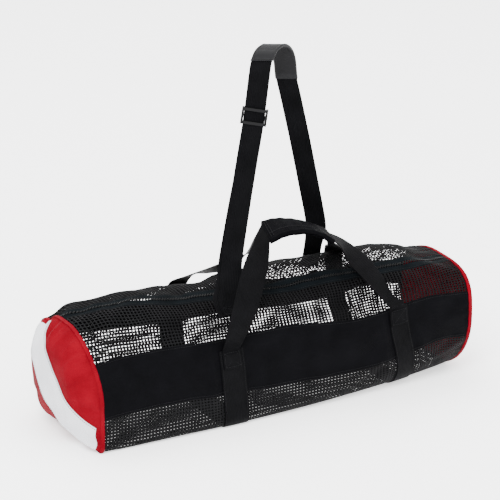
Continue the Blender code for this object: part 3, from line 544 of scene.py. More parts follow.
def ripple(share, around, level):
    """Small creases of slack cloth, none on the floor or under the straps, and puckers at the end seams.

    They are waves over the places along and round the body, with lengths and heights in metres.
    """
    u = share * LENGTH
    v = around * GIRTH
    turn = 2 * math.pi
    slow = np.sin(turn * (u / 0.153 + 0.6 * np.sin(turn * v / 0.255) + 0.13))
    slow = slow * np.sin(turn * (v / 0.153 + 0.3 * np.sin(turn * u / 0.3)))
    quick = np.sin(turn * (u / 0.061 + v / 0.085 + 0.5 * np.sin(turn * v / 0.1275)))
    long = np.sin(turn * (u / 0.23 - v / 0.0588 + 0.5 * np.sin(turn * u / 0.21)))
    total = 0.0011 * slow + 0.0005 * quick + 0.0008 * long
    slack = np.clip((level - 0.135) / 0.04, 0, 1)
    fold = np.sin(turn * (u / 0.118 + v / 0.1913 + 0.35 * np.sin(turn * u / 0.27) + 0.2))
    cross = np.sin(turn * (u / 0.171 - v / 0.1093 + 0.4 * np.sin(turn * v / 0.255) + 0.55))
    total = total + slack * (0.0026 * fold * np.abs(cross) + 0.0018 * cross)
    for row in BELLY.values():
        beyond = (np.abs(share - row[0]) * LENGTH - row[1] / 2 - 0.003) / 0.020
        total = total * np.clip(beyond, 0, 1)
    end = np.minimum(share, 1 - share) * LENGTH
    total = total * np.clip(end / 0.02, 0, 1)
    pucker = np.sin(turn * (v / 0.0255 + 0.35 * np.sin(turn * v / 0.153)))
    total = total + 0.0009 * pucker * np.exp(-((end / 0.022) ** 2)) * np.clip(end / 0.006, 0, 1)
    return total * np.clip((level - 0.012) / 0.03, 0, 1)


SKIN_POINTS, SKIN_NORMALS = build_skin()


def on_skin(share, around, lift=0.0):
    """Points that lie on the skin at these places, moved outwards by lift."""
    share, around = np.broadcast_arrays(np.asarray(share, float), np.asarray(around, float))
    row = np.clip(share, 0, 1) * ALONG_STEPS
    column = (around % 1.0) * ROUND_STEPS
    i = np.minimum(row.astype(int), ALONG_STEPS - 1)
    j = np.minimum(column.astype(int), ROUND_STEPS - 1)
    a = (row - i)[..., None]
    b = (column - j)[..., None]
    points = []
    for table in (SKIN_POINTS, SKIN_NORMALS):
        low = table[i, j] * (1 - b) + table[i, j + 1] * b
        high = table[i + 1, j] * (1 - b) + table[i + 1, j + 1] * b
        points.append(low * (1 - a) + high * a)
    placed = points[0] + points[1] * np.asarray(lift)[..., None]
    placed[..., 2] = np.maximum(placed[..., 2], FLOOR_LIFT - lift)
    return placed


def out_of_skin(share, around):
    """The outward direction of the skin at these places."""
    return on_skin(share, around, 1.0) - on_skin(share, around)


def set_inputs(node, **values):
    """Sets these inputs of a shader node, where _ in a name stands for a space."""
    for name, value in values.items():
        node.inputs[name.replace("_", " ")].default_value = value
    return node


def new_finish(name):
    """A new material, its node tree and its main shader."""
    made = bpy.data.materials.new(name)
    made.use_nodes = True
    return made, made.node_tree, made.node_tree.nodes["Principled BSDF"]


def add_noise(tree, place, scale, detail):
    noise = set_inputs(tree.nodes.new("ShaderNodeTexNoise"), Scale=scale, Detail=detail)
    tree.links.new(place.outputs["Object"], noise.inputs["Vector"])
    return noise.outputs["Fac"]


def add_bump(tree, height, strength, distance):
    bump = set_inputs(tree.nodes.new("ShaderNodeBump"), Strength=strength, Distance=distance)
    tree.links.new(height, bump.inputs["Height"])
    return bump


def make_cloth(name, colour, lighter, roughness, pitches, weave, gloss, crease=0.0):
    """Woven cloth: two crossed sets of threads as bump and as painted shade in the colour, patches of wear in
    the colour, and a soft sheen.
    """
    made, tree, shader = new_finish(name)
    links = tree.links
    place = tree.nodes.new("ShaderNodeTexCoord")
    ramp = tree.nodes.new("ShaderNodeValToRGB")
    for element, at, tone in zip(ramp.color_ramp.elements, (0.32, 0.72), (colour, lighter)):
        element.position = at
        element.color = (*tone, 1.0)
    links.new(add_noise(tree, place, 26.0, 5.0), ramp.inputs["Fac"])
    threads = tree.nodes.new("ShaderNodeMath")
    threads.operation = "ADD"
    for number, (direction, pitch) in enumerate(zip("XY", pitches)):
        wave = tree.nodes.new("ShaderNodeTexWave")
        wave.wave_type = "BANDS"
        wave.bands_direction = direction
        set_inputs(wave, Scale=WAVE_SCALE / pitch, Distortion=0.6, Detail=1.0)
        links.new(place.outputs["UV"], wave.inputs["Vector"])
        links.new(wave.outputs["Fac"], threads.inputs[number])
    # Painted shade: the threads' height darkens the colour in the grooves between threads and lightens it on
    # their tops.
    shade = set_inputs(tree.nodes.new("ShaderNodeMixRGB"), Fac=0.35)
    shade.blend_type = "MULTIPLY"
    links.new(ramp.outputs["Color"], shade.inputs["Color1"])
    links.new(threads.outputs["Value"], shade.inputs["Color2"])
    links.new(shade.outputs["Color"], shader.inputs["Base Color"])
    bump = add_bump(tree, threads.outputs["Value"], weave, 0.0004)
    soft = add_bump(tree, add_noise(tree, place, 34.0, 4.0), 0.35 + crease, 0.004)
    links.new(bump.outputs["Normal"], soft.inputs["Normal"])
    links.new(soft.outputs["Normal"], shader.inputs["Normal"])
    set_inputs(shader, Roughness=roughness, Specular_IOR_Level=gloss, IOR=1.3)
    return made


def make_plastic(name, colour, roughness, gloss):
    """Moulded plastic with a fine grain."""
    made, tree, shader = new_finish(name)
    grain = add_noise(tree, tree.nodes.new("ShaderNodeTexCoord"), 900.0, 2.0)
    bump = add_bump(tree, grain, 0.15, 0.0003)
    tree.links.new(bump.outputs["Normal"], shader.inputs["Normal"])
    set_inputs(shader, Base_Color=(*colour, 1.0), Roughness=roughness, Specular_IOR_Level=gloss)
    return made


FINISH = {name: make_cloth(name, *look) for name, look in CLOTHS.items()}
FINISH.update({name: make_plastic(name, *look) for name, look in PLASTICS.items()})


def add_piece(name, points, faces, uvs, finish, nodes):
    """A piece of the bag that stands for these CAD nodes."""
    mesh = bpy.data.meshes.new(name)
    mesh.from_pydata(np.asarray(points).reshape(-1, 3).tolist(), [], faces)
    made = bpy.data.objects.new(name, mesh)
    bpy.context.scene.collection.objects.link(made)
    mesh.materials.append(FINISH[finish])
    layer = mesh.uv_layers.new(name="UVMap")
    corner = np.zeros(len(mesh.loops), dtype=np.int32)
    mesh.loops.foreach_get("vertex_index", corner)
    layer.data.foreach_set("uv", np.asarray(uvs, dtype=np.float32).reshape(-1, 2)[corner].ravel())
    mesh.polygons.foreach_set("use_smooth", [True] * len(mesh.polygons))
    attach(made, "root")
    if nodes:
        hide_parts(*nodes)
    return made


def turn_outwards(made):
    shape = bmesh.new()
    shape.from_mesh(made.data)
    bmesh.ops.recalc_face_normals(shape, faces=shape.faces)
    shape.to_mesh(made.data)
    shape.free()


def make_active(made):
    bpy.ops.object.select_all(action="DESELECT")
    made.select_set(True)
    bpy.context.view_layer.objects.active = made


def apply_thickness(made, thick):
    """Gives the active cloth its thickness, inwards from its outer face."""
    solid = made.modifiers.new("thickness", "SOLIDIFY")
    solid.thickness = thick
    solid.offset = -1.0
    bpy.ops.object.modifier_apply(modifier=solid.name)


def apply_bevel(made, width, segments):
    """Rounds the corners of the active piece."""
    bevel = made.modifiers.new("rounded", "BEVEL")
    bevel.width = width
    bevel.segments = segments
    bevel.limit_method = "ANGLE"
    bevel.angle_limit = math.radians(CORNER_ANGLE)
    bpy.ops.object.modifier_apply(modifier=bevel.name)


def smooth_active(made, degrees):
    bpy.ops.object.shade_smooth_by_angle(angle=math.radians(degrees))
    made.select_set(False)


def grid_faces(rows, columns, closed=False, looped=False):
    """Quads between the points of a table. closed joins its last column to its first, looped its last row."""
    faces = []
    for i in range(rows if looped else rows - 1):
        n = (i + 1) % rows
        for j in range(columns if closed else columns - 1):
            k = (j + 1) % columns
            faces.append((i * columns + j, i * columns + k, n * columns + k, n * columns + j))
    return faces


def run_along(line):
    """The running length at each point of a line."""
    return np.concatenate([[0.0], np.cumsum(np.linalg.norm(np.diff(line, axis=0), axis=1))])


def grid_uvs(down, along):
    """The UVs of a table of points, as running lengths down a column and along a row."""
    return np.stack(np.broadcast_arrays(run_along(down)[:, None], run_along(along)[None, :]), axis=-1)


def facing_line(line, out):
    """A line of stitches with its outward direction at each point."""
    return line, np.broadcast_to(out, line.shape)


def sheet_piece(name, points, thick, finish, nodes, facing, edge=0.0):
    """A cloth from a table of points on its outer face. edge rounds its edges by this much."""
    points = np.asarray(points)
    rows, columns = points.shape[:2]
    i = rows // 2
    j = columns // 2
    normal = np.cross(points[i, j + 1] - points[i, j], points[i + 1, j] - points[i, j])
    if np.dot(normal, facing) < 0:
        points = points[:, ::-1]
    uvs = grid_uvs(points[:, j], points[i])
    made = add_piece(name, points, grid_faces(rows, columns), uvs, finish, nodes)
    make_active(made)
    apply_thickness(made, thick)
    if edge:
        apply_bevel(made, edge, 2)
    smooth_active(made, SMOOTH_ANGLE)


def wall_places(piece, shares, parts):
    """The shares and places round the girth of a table of points on one wall of the body."""
    spans = np.array([wall_span(piece, share) for share in shares])
    edge = np.array([(GAP / 2 + 0.0001) / girth(share) for share in shares])
    start = spans[:, 0] + edge
    end = spans[:, 1] - edge
    return shares[:, None], start[:, None] + (end - start)[:, None] * parts[None, :]


def build_net(piece):
    """The open net: every cell is a frame of four yarns round a square hole, its corners drawn in."""
    shares = np.linspace(GAP / LENGTH, 1 - GAP / LENGTH, int(round(LENGTH / NET_PITCH)) + 1)
    start, end = wall_span(piece, 0.5)
    count = int(round((end - start) * girth(0.5) / NET_ROUND[piece]))
    share, around = wall_places(piece, shares, np.linspace(0, 1, count + 1))
    share = np.broadcast_to(share, around.shape)
    rows, columns = around.shape
    inset = (1 - NET_OPEN[piece]) / 2
    tables = [(share, around)]
    for a, b in ((inset, inset), (inset, 1 - inset), (1 - inset, 1 - inset), (1 - inset, inset)):
        cell = []
        for table in (share, around):
            low = table[:-1, :-1] * (1 - b) + table[:-1, 1:] * b
            high = table[1:, :-1] * (1 - b) + table[1:, 1:] * b
            cell.append(low * (1 - a) + high * a)
        tables.append(tuple(cell))
    points = []
    uvs = []
    for lift, sunk in ((0.0, YARN_ROUND), (-NET_THICK, -YARN_ROUND)):
        for number, (s, a) in enumerate(tables):
            points.append(on_skin(s, a, lift - (sunk if number else 0.0)).reshape(-1, 3))
            uvs.append(np.stack([s * LENGTH, a * GIRTH], axis=-1).reshape(-1, 2))
    layer = sum(len(p) for p in points) // 2
    corner = np.arange(rows * columns).reshape(rows, columns)
    cells = (rows - 1) * (columns - 1)
    hole = [rows * columns + k * cells + np.arange(cells) for k in range(4)]
    outer = [c.ravel() for c in (corner[:-1, :-1], corner[:-1, 1:], corner[1:, 1:], corner[1:, :-1])]
    quads = []
    for k in range(4):
        n = (k + 1) % 4
        quads.append(np.stack([outer[k], outer[n], hole[n], hole[k]], axis=1))
        quads.append(np.stack([hole[k], hole[n], outer[n], outer[k]], axis=1) + layer)
        quads.append(np.stack([hole[k], hole[n], hole[n] + layer, hole[k] + layer], axis=1))
    rim = np.concatenate([corner[0, :], corner[1:, -1], corner[-1, -2::-1], corner[-2:0:-1, 0]])
    after = np.roll(rim, -1)
    quads.append(np.stack([after, rim, rim + layer, after + layer], axis=1))
    points = np.concatenate(points)
    faces = np.concatenate(quads).tolist()
    add_piece("open_" + piece, points, faces, np.concatenate(uvs), "net_yarn", [piece])


def build_walls():
    """The cloth bands at the front and back and the zip's two tapes."""
    shares = np.linspace(GAP / LENGTH, 1 - GAP / LENGTH, WALL_ROWS)
    for piece in ("panel_front", "panel_back"):
        share, around = wall_places(piece, shares, np.linspace(0, 1, BAND_COLUMNS))
        facing = out_of_skin(share[WALL_ROWS // 2, 0], around[WALL_ROWS // 2, BAND_COLUMNS // 2])
        points = on_skin(share, around)
        sheet_piece("cloth_" + piece, points, CLOTH, "coated_cloth", [piece], facing)
    for piece in ("zip_tape_front", "zip_tape_back"):
        share, around = wall_places(piece, shares, np.linspace(0, 1, TAPE_COLUMNS))
        points = on_skin(share, around)
        sheet_piece("cloth_" + piece, points, TAPE_THICK, "zip_tape", [piece], (0, 0, 1))


def box_strip(places, along, across, out, size):
    """Many small boxes in one mesh. size is their half lengths along, across and out."""
    corners = np.array([(a, b, c) for a in (-1, 1) for b in (-1, 1) for c in (-1, 1)], float)
    sides = np.stack([along, across, out], axis=1)
    points = places[:, None, :] + np.einsum("kc,ncx->nkx", corners * np.array(size), sides)
    quads = np.array([(0, 1, 3, 2), (4, 6, 7, 5), (0, 4, 5, 1), (2, 3, 7, 6), (0, 2, 6, 4), (1, 5, 7, 3)])
    faces = (np.arange(len(places))[:, None, None] * 8 + quads[None]).reshape(-1, 4)
    return points.reshape(-1, 3), faces


def build_zip():
    """Two rows of teeth that mesh along the zip's line."""
    share = np.linspace(*ZIP_RUN, ZIP_TEETH)
    line = np.array([seam("zip", s) for s in share])
    whole = np.array([girth(s) for s in share])
    side = np.where(np.arange(ZIP_TEETH) % 2 == 0, -1.0, 1.0) * TOOTH_ASIDE
    places = on_skin(share, line + side / whole, 0.0002)
    along = np.gradient(on_skin(share, line), axis=0)
    along /= np.linalg.norm(along, axis=1, keepdims=True)
    out = out_of_skin(share, line)
    out -= along * np.sum(out * along, axis=1, keepdims=True)
    out /= np.linalg.norm(out, axis=1, keepdims=True)
    points, faces = box_strip(places, along, np.cross(along, out), out, TOOTH_HALVES)
    uvs = points[:, :2]
    made = add_piece("zip_teeth", points, faces.tolist(), uvs, "zip_teeth", ["zip_coil"])
    make_active(made)
    apply_bevel(made, 0.0004, 1)
    smooth_active(made, SMOOTH_ANGLE)


class Cap:
    """The surface of one end, as a place along X for each height and place across."""

    def __init__(self, side):
        self.share, self.bulge, self.fullness = CAPS[side]
        self.away = 1.0 if self.share > 0.5 else -1.0
        rim = on_skin(self.share, np.arange(360) / 360)
        self.middle = (rim[:, 1:].max(axis=0) + rim[:, 1:].min(axis=0)) / 2
        apart = rim[:, 1:] - self.middle
        angle = np.arctan2(apart[:, 1], apart[:, 0])
        order = np.argsort(angle)
        self.angles = angle[order]
        self.reaches = np.hypot(apart[:, 0], apart[:, 1])[order]
        self.seams = rim[order, 0]

    def reach(self, y, z):
        angle = np.arctan2(z - self.middle[1], y - self.middle[0])
        reach = np.interp(angle, self.angles, self.reaches, period=2 * math.pi)
        return np.hypot(y - self.middle[0], z - self.middle[1]) / reach, angle

    def point(self, y, z, lift=0.0):
        out, angle = self.reach(y, z)
        out = np.minimum(out, 1.0)
        axis = curve_through(AXIS_COLUMNS, AXIS, self.share)
        lean = math.tan(math.radians(axis["turn"]))
        seam_x = SHIFT[0] + (self.share - 0.5) * LENGTH - (y - SHIFT[1] - axis["aside"]) * lean
        puckers = np.sin(23 * angle + 2.0 * np.sin(5 * angle)) + 0.6 * np.sin(41 * angle + 1.3)
        puckers = puckers * 0.0011 * np.exp(-(((out - 0.90) / 0.09) ** 2))
        dents = 0.0020 * np.sin(5.0 * angle + 9.0 * out) * out**2 * (1 - out**8)
        dents = dents + 0.0016 * np.sin(70 * (y + 0.6 * z) + 3 * np.sin(24 * z)) * (1 - out**6)
        depth = GAP + CLOTH + self.bulge * (1 - out**self.fullness) + puckers + dents + lift
        for at, long, deep in CAP_CREASES:
            apart = (angle - at + math.pi) % (2 * math.pi) - math.pi
            ridge = np.exp(-((apart / 0.085) ** 2)) - 0.6 * np.exp(-(((apart - 0.17) / 0.10) ** 2))
            depth = depth - deep * ridge * np.exp(-(((1 - out) / long) ** 2)) * (1 - out**24)
        return np.stack([seam_x + self.away * depth, y, z], axis=-1)


def build_cap(side):
    """One red end with its white band. It returns the lines of stitches along the band."""
    cap = Cap(side)
    turns = np.arange(CAP_TURNS) / CAP_TURNS * 2 * math.pi
    reach = np.interp(turns, cap.angles, cap.reaches, period=2 * math.pi)
    rings = np.concatenate([np.linspace(0.02, 0.85, 24), np.linspace(0.87, 1.0, 14)])
    y = cap.middle[0] + rings[:, None] * (reach * np.cos(turns))[None, :]
    z = cap.middle[1] + rings[:, None] * (reach * np.sin(turns))[None, :]
    points = cap.point(y, z)
    centre = cap.point(np.array([cap.middle[0]]), np.array([cap.middle[1]]))
    rows, columns = points.shape[:2]
    faces = grid_faces(rows, columns, closed=True)
    faces += [(rows * columns, (j + 1) % columns, j) for j in range(columns)]
    flat = np.concatenate([points.reshape(-1, 3), centre])
    node = "end_cap_" + side
    made = add_piece("cloth_" + node, flat, faces, flat[:, 1:], "red_nylon", [node])
    turn_outwards(made)
    make_active(made)
    apply_thickness(made, CAP_THICK)
    made.select_set(False)
    return build_stripe(cap, side)


def build_stripe(cap, side):
    """The straight white band on one end."""
    slope = math.radians(STRIPE_SLOPE)
    along = np.array([-math.cos(slope) if side == "left" else math.cos(slope), -math.sin(slope)])
    across = np.array([-along[1], along[0]])
    table = []
    for j in range(STRIPE_COLUMNS):
        shift = across * STRIPE_WIDTH * (j / (STRIPE_COLUMNS - 1) - 0.5)
        ends = []
        for way in (-1.0, 1.0):
            steps = np.linspace(0, 0.2, 400)
            line = cap.middle + shift + along * way * steps[:, None]
            inside = steps[cap.reach(line[:, 0], line[:, 1])[0] < STRIPE_REACH]
            ends.append(way * inside.max())
        steps = np.linspace(ends[0], ends[1], STRIPE_ROWS)
        line = cap.middle + shift + along * steps[:, None]
        table.append(cap.point(line[:, 0], line[:, 1], STRIPE_LIFT))
    band = np.array(table).transpose(1, 0, 2)
    facing = (cap.away, 0.0, 0.0)
    node = "end_stripe_" + side
    sheet_piece("cloth_" + node, band, STRIPE_THICK, "white_nylon", [node], facing)
    edges = []
    for column, inwards in ((0, 1), (-1, -2)):
        edges.append(facing_line(band[:, column] * 0.55 + band[:, inwards] * 0.45, facing))
    return edges


def build_binding(side):
    """The bound rim: a folded tape over the seam."""
    share = CAPS[side][0]
    away = 1.0 if share > 0.5 else -1.0
    around = np.arange(RIM_ROWS) / RIM_ROWS
    rim = on_skin(share, around)
    out = out_of_skin(share, around)
    out[:, 0] = 0
    out /= np.linalg.norm(out, axis=1, keepdims=True)
    inner = on_skin(BINDING / LENGTH if share < 0.5 else 1 - BINDING / LENGTH, around)
    body_way = inner - rim
    body_way /= np.linalg.norm(body_way, axis=1, keepdims=True)
    rings = []
    for k in range(RIM_POINTS):
        angle = 2 * math.pi * k / RIM_POINTS
        part = math.cos(angle)
        over_body, over_end = RIM_REACH
        side_way = body_way * (part * over_body) if part > 0 else np.array([away, 0, 0]) * (-part * over_end)
        rings.append(rim + side_way + out * (RIM_OUT[0] + RIM_OUT[1] * math.sin(angle)))
    faces = grid_faces(RIM_POINTS, RIM_ROWS, closed=True, looped=True)
    across = np.arange(RIM_POINTS) * 0.001
    uvs = np.stack(np.broadcast_arrays(around[None, :] * GIRTH, across[:, None]), axis=-1)
    node = "piping_" + side
    turn_outwards(add_piece("bound_rim_" + side, rings, faces, uvs, "red_nylon", [node]))


def belly_grid(side, lift, parts):
    """A table of points on a belly strap, at these parts of its width."""
    place, width, _ = BELLY[side]
    start = belly_start(place)
    around = np.linspace(start, 1 - start, BELLY_ROWS)
    share = place + width / LENGTH * parts
    return on_skin(share[None, :], around[:, None], lift)


def belly_start(share):
    """Where a belly strap starts: the first fifth of the front band at or below its named top."""
    start, end = wall_span("panel_front", share)
    fifths = [start + (end - start) * k / 5 for k in range(5)]
    return min(place for place in fifths if place > BELLY_TOP - 0.002)


def build_belly(side):
    """A belly strap. It returns the lines of stitches along its edges, off the floor only."""
    lift = GAP + WEBBING_THICK
    points = belly_grid(side, lift, np.linspace(-0.5, 0.5, BELLY_COUNT))
    name = "webbing_belly_" + side
    node = "belly_strap_" + side
    sheet_piece(name, points, WEBBING_THICK, "ribbed_webbing", [node], (0, 0, -1))
    lines = []
    for part in (-0.44, 0.44):
        grid, high, low = (belly_grid(side, at, np.array([part]))[:, 0] for at in (lift, 1.0, 0.0))
        clear = grid[:, 2] > 0.03
        first = np.argmin(clear)
        last = len(clear) - np.argmin(clear[::-1])
        up = high - low
        lines += [(grid[:first], up[:first]), (grid[last:], up[last:])]
    return lines


def webbing_piece(name, frames, thick, node, columns=7, cup=0.0):
    """A webbing along frames of middle, across, out and width. cup bends its edges back."""
    parts = np.linspace(-0.5, 0.5, columns)
    bend = cup * (4 * parts**2)
    table = []
    for middle, across, out, width in frames:
        table.append(middle + SHIFT + across * (width * parts)[:, None] + out * (thick / 2 - bend)[:, None])
    facing = frames[len(frames) // 2][2]
    edge = thick * 0.22
    sheet_piece(name, table, thick, "ribbed_webbing", [node], facing, edge)


def box_lines(frames, inset, lift):
    """The stitched box with its cross at a sewn end, from the frames of that end."""
    first = frames[0]
    last = frames[-1]
    ahead = last[0] - first[0]
    ahead = ahead / np.linalg.norm(ahead)
    corners = []
    for (middle, across, out, width), way in ((first, 1), (last, -1)):
        for part in (-1, 1):
            aside = across * part * (width / 2 - inset)
            corners.append(middle + SHIFT + aside + ahead * way * inset + out * lift)
    out = (first[2] + last[2]) / 2
    steps = np.linspace(0, 1, 20)[:, None]
    pairs = ((0, 1), (1, 3), (3, 2), (2, 0), (0, 3), (1, 2))
    return [facing_line(corners[a] * (1 - steps) + corners[b] * steps, out) for a, b in pairs]


def sewn_boxes(rows, count, inset, lift):
    """The stitched boxes at both ends of a webbing, each over this many rows of its path."""
    steps = np.arange(float(count))
    first = box_lines(ribbon_frames(rows, steps), inset, lift)
    return first + box_lines(ribbon_frames(rows, len(rows) - 1 - steps), inset, lift)


def build_handle(name, back):
    """One carry handle, from its left sewn end through the grip to its right sewn end."""
    word = "back" if back else "front"
    sign = -1.0 if back else 1.0
    shift = 0.5 * (WEBBING_THICK + GAP + SEWN_CLEAR) * sign
    left = sewn_end("left", back, sign) + list(LEGS[word + "_left"])
    right = sewn_end("right", back, -sign) + list(LEGS[word + "_right"])
    grip = [(*(middle + out * shift), *across, width) for middle, across, out, width in grip_frames()]
    rows = left + grip + right[::-1]
    webbing_piece("webbing_" + name, path_frames(rows), WEBBING_THICK, name, cup=HANDLE_CUP)
    return sewn_boxes(rows, 5, 0.0035, 0.0009)


def loft_piece(name, rings, finish, nodes):
    """A closed form through rings of points, its ends filled."""
    rings = np.asarray(rings)
    rows, columns = rings.shape[:2]
    faces = grid_faces(rows, columns, closed=True)
    faces += [tuple(range(columns)), tuple((rows - 1) * columns + j for j in range(columns))]
    made = add_piece(name, rings, faces, grid_uvs(rings[:, 0], rings[0]), finish, nodes)
    turn_outwards(made)
    make_active(made)
    smooth_active(made, LOFT_ANGLE)
    return made


def build_wrap():
    """The grip rolled round both handles, a little padded, its outer end lying over its start."""
    corners = ((1, -1, -90), (1, 1, 0), (-1, 1, 90), (-1, -1, 180))
    last = len(GRIP) - 1
    rings = []
    for number, at in enumerate(np.linspace(0, last, 49)):
        middle, across, out, _ = ribbon_frames(GRIP, [at])[0]
        outer = []
        inner = []
        swell = 0.0006 * math.sin(number * 0.9) * math.sin(math.pi * at / last)
        for k in range(WRAP_POINTS):
            side, face, start = corners[(k // 6) % 4]
            angle = math.radians(start + 18 * (k % 6))
            grow = (WRAP_WALL + 2 * GAP) * k / 24
            wide = WRAP_WIDTH / 2 + grow
            deep = WRAP_DEPTH / 2 + grow
            for points, wall in ((outer, 0.0), (inner, WRAP_WALL)):
                bend = WRAP_ROUND - wall
                u = side * (wide - WRAP_ROUND) + bend * math.cos(angle)
                v = face * (deep - WRAP_ROUND) + bend * math.sin(angle)
                points.append(middle + SHIFT + across * u + out * (v + (swell if wall == 0 else 0.0)))
        rings.append(outer + inner[::-1])
    loft_piece("grip_handle_wrap", rings, "coated_cloth", ["handle_wrap"])
    lines = []
    top = WRAP_DEPTH / 2 + WRAP_WALL + 2 * GAP + 0.0001
    for at in (0.12, 0.30, last - 0.30, last - 0.12):
        middle, across, out, _ = ribbon_frames(GRIP, [at])[0]
        steps = np.linspace(-0.42, 0.42, 16)[:, None] * WRAP_WIDTH
        lines.append(facing_line(middle + SHIFT + across * steps + out * top, out))
    for part in (-0.40, 0.22):
        frames = ribbon_frames(GRIP, np.linspace(0.12, last - 0.12, 24))
        line = np.array([row[0] + SHIFT + row[1] * part * WRAP_WIDTH + row[2] * top for row in frames])
        lines.append((line, np.array([row[2] for row in frames])))
    return lines


def build_strap():
    """The shoulder strap and the layer that comes back behind its left leg from the slider."""
    rows = strap_rows()
    webbing_piece("webbing_shoulder_strap", path_frames(rows), STRAP_THICK, "shoulder_strap")
    under = []
    for at in np.arange(0, 9.0, 0.2):
        middle, across, out, width = ribbon_frames(rows, [at])[0]
        if middle[2] > SLIDER_LEVEL - 0.02:
            break
        behind = STRAP_THICK + GAP + SEWN_CLEAR
        if at > 2:
            behind += (LAYER_GAP - GAP) * min((at - 2) / 1.5, 1.0)
        shift = LAYER_SHIFT * clamped((6.5 - at) / 3.0)
        under.append((middle - out * behind + across * shift, across, out, width))
    fine = ribbon_frames(rows, [k / 100 for k in range(600, 1000)])
    middle, across, out, width = min(fine, key=lambda row: abs(row[0][2] - SLIDER_LEVEL - 0.003))
    bar = STRAP_THICK + 2 * GAP + 0.0021
    for drop in (-0.004, 0.0):
        under.append((middle + np.array([0, 0, drop]) - out * bar, across, out, width))
    webbing_piece("webbing_strap_under", under, STRAP_THICK, "shoulder_strap_under", columns=5)
    return sewn_boxes(rows, FOOT_ROWS, 0.003, 0.0010)


def build_pad():
    """The padded sleeve, its long edges bound. It returns the lines of stitches across its ends."""
    rows = strap_rows()
    first, last = (FOOT_ROWS + row for row in PAD_SPAN)
    half = PAD_WIDTH / 2
    rings = []
    for at in np.linspace(first, last, 61):
        middle, across, out, _ = ribbon_frames(rows, [at])[0]
        near = min(at - first, last - at) / 0.35
        full = 0.82 + 0.18 * clamped(near) ** 0.5
        swell = 0.0007 if near < 0.9 else 0.0
        ring = []
        for k in range(PAD_POINTS):
            angle = 2 * math.pi * k / PAD_POINTS
            u = math.copysign(abs(math.cos(angle)) ** 0.30, math.cos(angle)) * half
            rise = math.copysign(abs(math.sin(angle)) ** 0.55, math.sin(angle))
            rim = math.exp(-(((abs(u) / half - 0.88) / 0.07) ** 2))
            v = rise * (PAD_DEPTH / 2 * full + swell + PAD_RIM * rim)
            ring.append(middle + SHIFT + across * u + out * v)
        rings.append(ring)
    pad = loft_piece("padded_shoulder_pad", rings, "padded_cloth", ["shoulder_pad"])
    lines = []
    for at in (first + 0.25, last - 0.25):
        middle, across, out, width = ribbon_frames(rows, [at])[0]
        line = middle + SHIFT + across * width * np.linspace(-0.46, 0.46, 16)[:, None]
        for way in (-1.0, 1.0):
            lines.append(facing_line(line + out * way * (PAD_DEPTH / 2 + 0.0001), out * way))
    return lines


def values_at(places, run, table):
    """A table's rows at these places of its running length."""
    return np.stack([np.interp(places, run, table[:, k]) for k in range(3)], axis=1)


def build_stitches(lines):
    """Rows of raised thread along these lines of points and outward directions."""
    places = []
    along = []
    out = []
    for line, up in lines:
        if len(line) < 2:
            continue
        run = run_along(line)
        at = np.arange(STITCH_PITCH / 2, run[-1], STITCH_PITCH)
        way = values_at(at + 0.0008, run, line) - values_at(at - 0.0008, run, line)
        good = np.linalg.norm(way, axis=1) > 1e-6
        way = way[good] / np.linalg.norm(way[good], axis=1, keepdims=True)
        face = values_at(at, run, up)[good]
        face = face - way * np.sum(face * way, axis=1, keepdims=True)
        face /= np.linalg.norm(face, axis=1, keepdims=True)
        places.append(values_at(at, run, line)[good])
        along.append(way)
        out.append(face)
    along = np.concatenate(along)
    out = np.concatenate(out)
    places = np.concatenate(places) + out * 0.0002
    points, faces = box_strip(places, along, np.cross(along, out), out, STITCH_HALVES)
    add_piece("stitches", points, faces.tolist(), points[:, :2], "thread", [])


def body_seam_lines():
    """Rows of stitches along the cloth bands and the zip's tapes."""
    rows = {
        "panel_front": (0.035, 0.965),
        "panel_back": (0.035, 0.965),
        "zip_tape_front": (0.8,),
        "zip_tape_back": (0.2,),
    }
    lines = []
    shares = np.linspace(0.008, 0.992, 400)
    for piece, parts in rows.items():
        _, around = wall_places(piece, shares, np.array(parts))
        for column in around.T:
            lines.append((on_skin(shares, column), out_of_skin(shares, column)))
    return lines


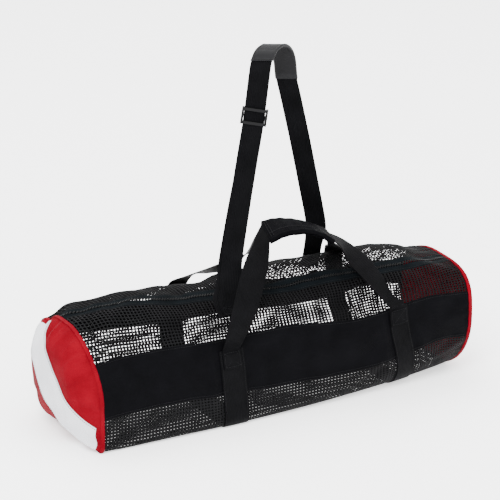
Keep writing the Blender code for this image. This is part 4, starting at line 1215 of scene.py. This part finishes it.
def dress_cad(node, finish, width):
    """A hard piece shown as modelled in CAD, with its edges rounded."""
    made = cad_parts[node]
    made.data.materials.clear()
    made.data.materials.append(FINISH[finish])
    bevel = made.modifiers.new("rounded", "BEVEL")
    bevel.width = width
    bevel.segments = 3
    bevel.limit_method = "ANGLE"
    made.modifiers.new("normals", "WEIGHTED_NORMAL")


def build_studio():
    """The floor, the light and the photo's camera."""
    scene = bpy.context.scene
    bpy.ops.mesh.primitive_plane_add(size=14.0, location=(0, 0, 0))
    floor = bpy.context.object
    floor.name = "floor"
    finish, _, shader = new_finish("pale_floor")
    set_inputs(shader, Base_Color=FLOOR_COLOUR, Roughness=0.9)
    set_inputs(shader, Emission_Color=WHITE_LIGHT, Emission_Strength=FLOOR_GLOW)
    floor.data.materials.append(finish)
    world = bpy.data.worlds.new("studio")
    world.use_nodes = True
    set_inputs(world.node_tree.nodes["Background"], Color=WHITE_LIGHT, Strength=WORLD_LIGHT)
    scene.world = world
    for name, place, size, power in LIGHTS:
        light = bpy.data.lights.new(name, "AREA")
        light.shape = "DISK"
        light.size = size
        light.energy = power
        lamp = bpy.data.objects.new(name, light)
        scene.collection.objects.link(lamp)
        lamp.location = place
        lamp.rotation_euler = (LIGHT_AIM - lamp.location).to_track_quat("-Z", "Y").to_euler()
    lens = bpy.data.cameras.new("camera")
    lens.lens = CAMERA_LENS
    lens.sensor_width = 36.0
    lens.clip_end = 60.0
    camera = bpy.data.objects.new("camera", lens)
    scene.collection.objects.link(camera)
    camera.location = CAMERA_PLACE
    camera.rotation_euler = (math.radians(90.0 - CAMERA_UP), 0.0, math.radians(-CAMERA_AROUND))
    scene.camera = camera


for piece in NET_ROUND:
    build_net(piece)
build_walls()
build_zip()
stitch_lines = body_seam_lines()
for side in CAPS:
    stitch_lines += build_cap(side)
    build_binding(side)
for side in BELLY:
    stitch_lines += build_belly(side)
stitch_lines += build_handle("handle_front", False)
stitch_lines += build_handle("handle_back", True)
stitch_lines += build_wrap()
stitch_lines += build_strap()
stitch_lines += build_pad()
build_stitches(stitch_lines)
dress_cad("strap_slider", "moulded_plastic", 0.0009)
dress_cad("zip_slider", "moulded_plastic", 0.0006)
build_studio()
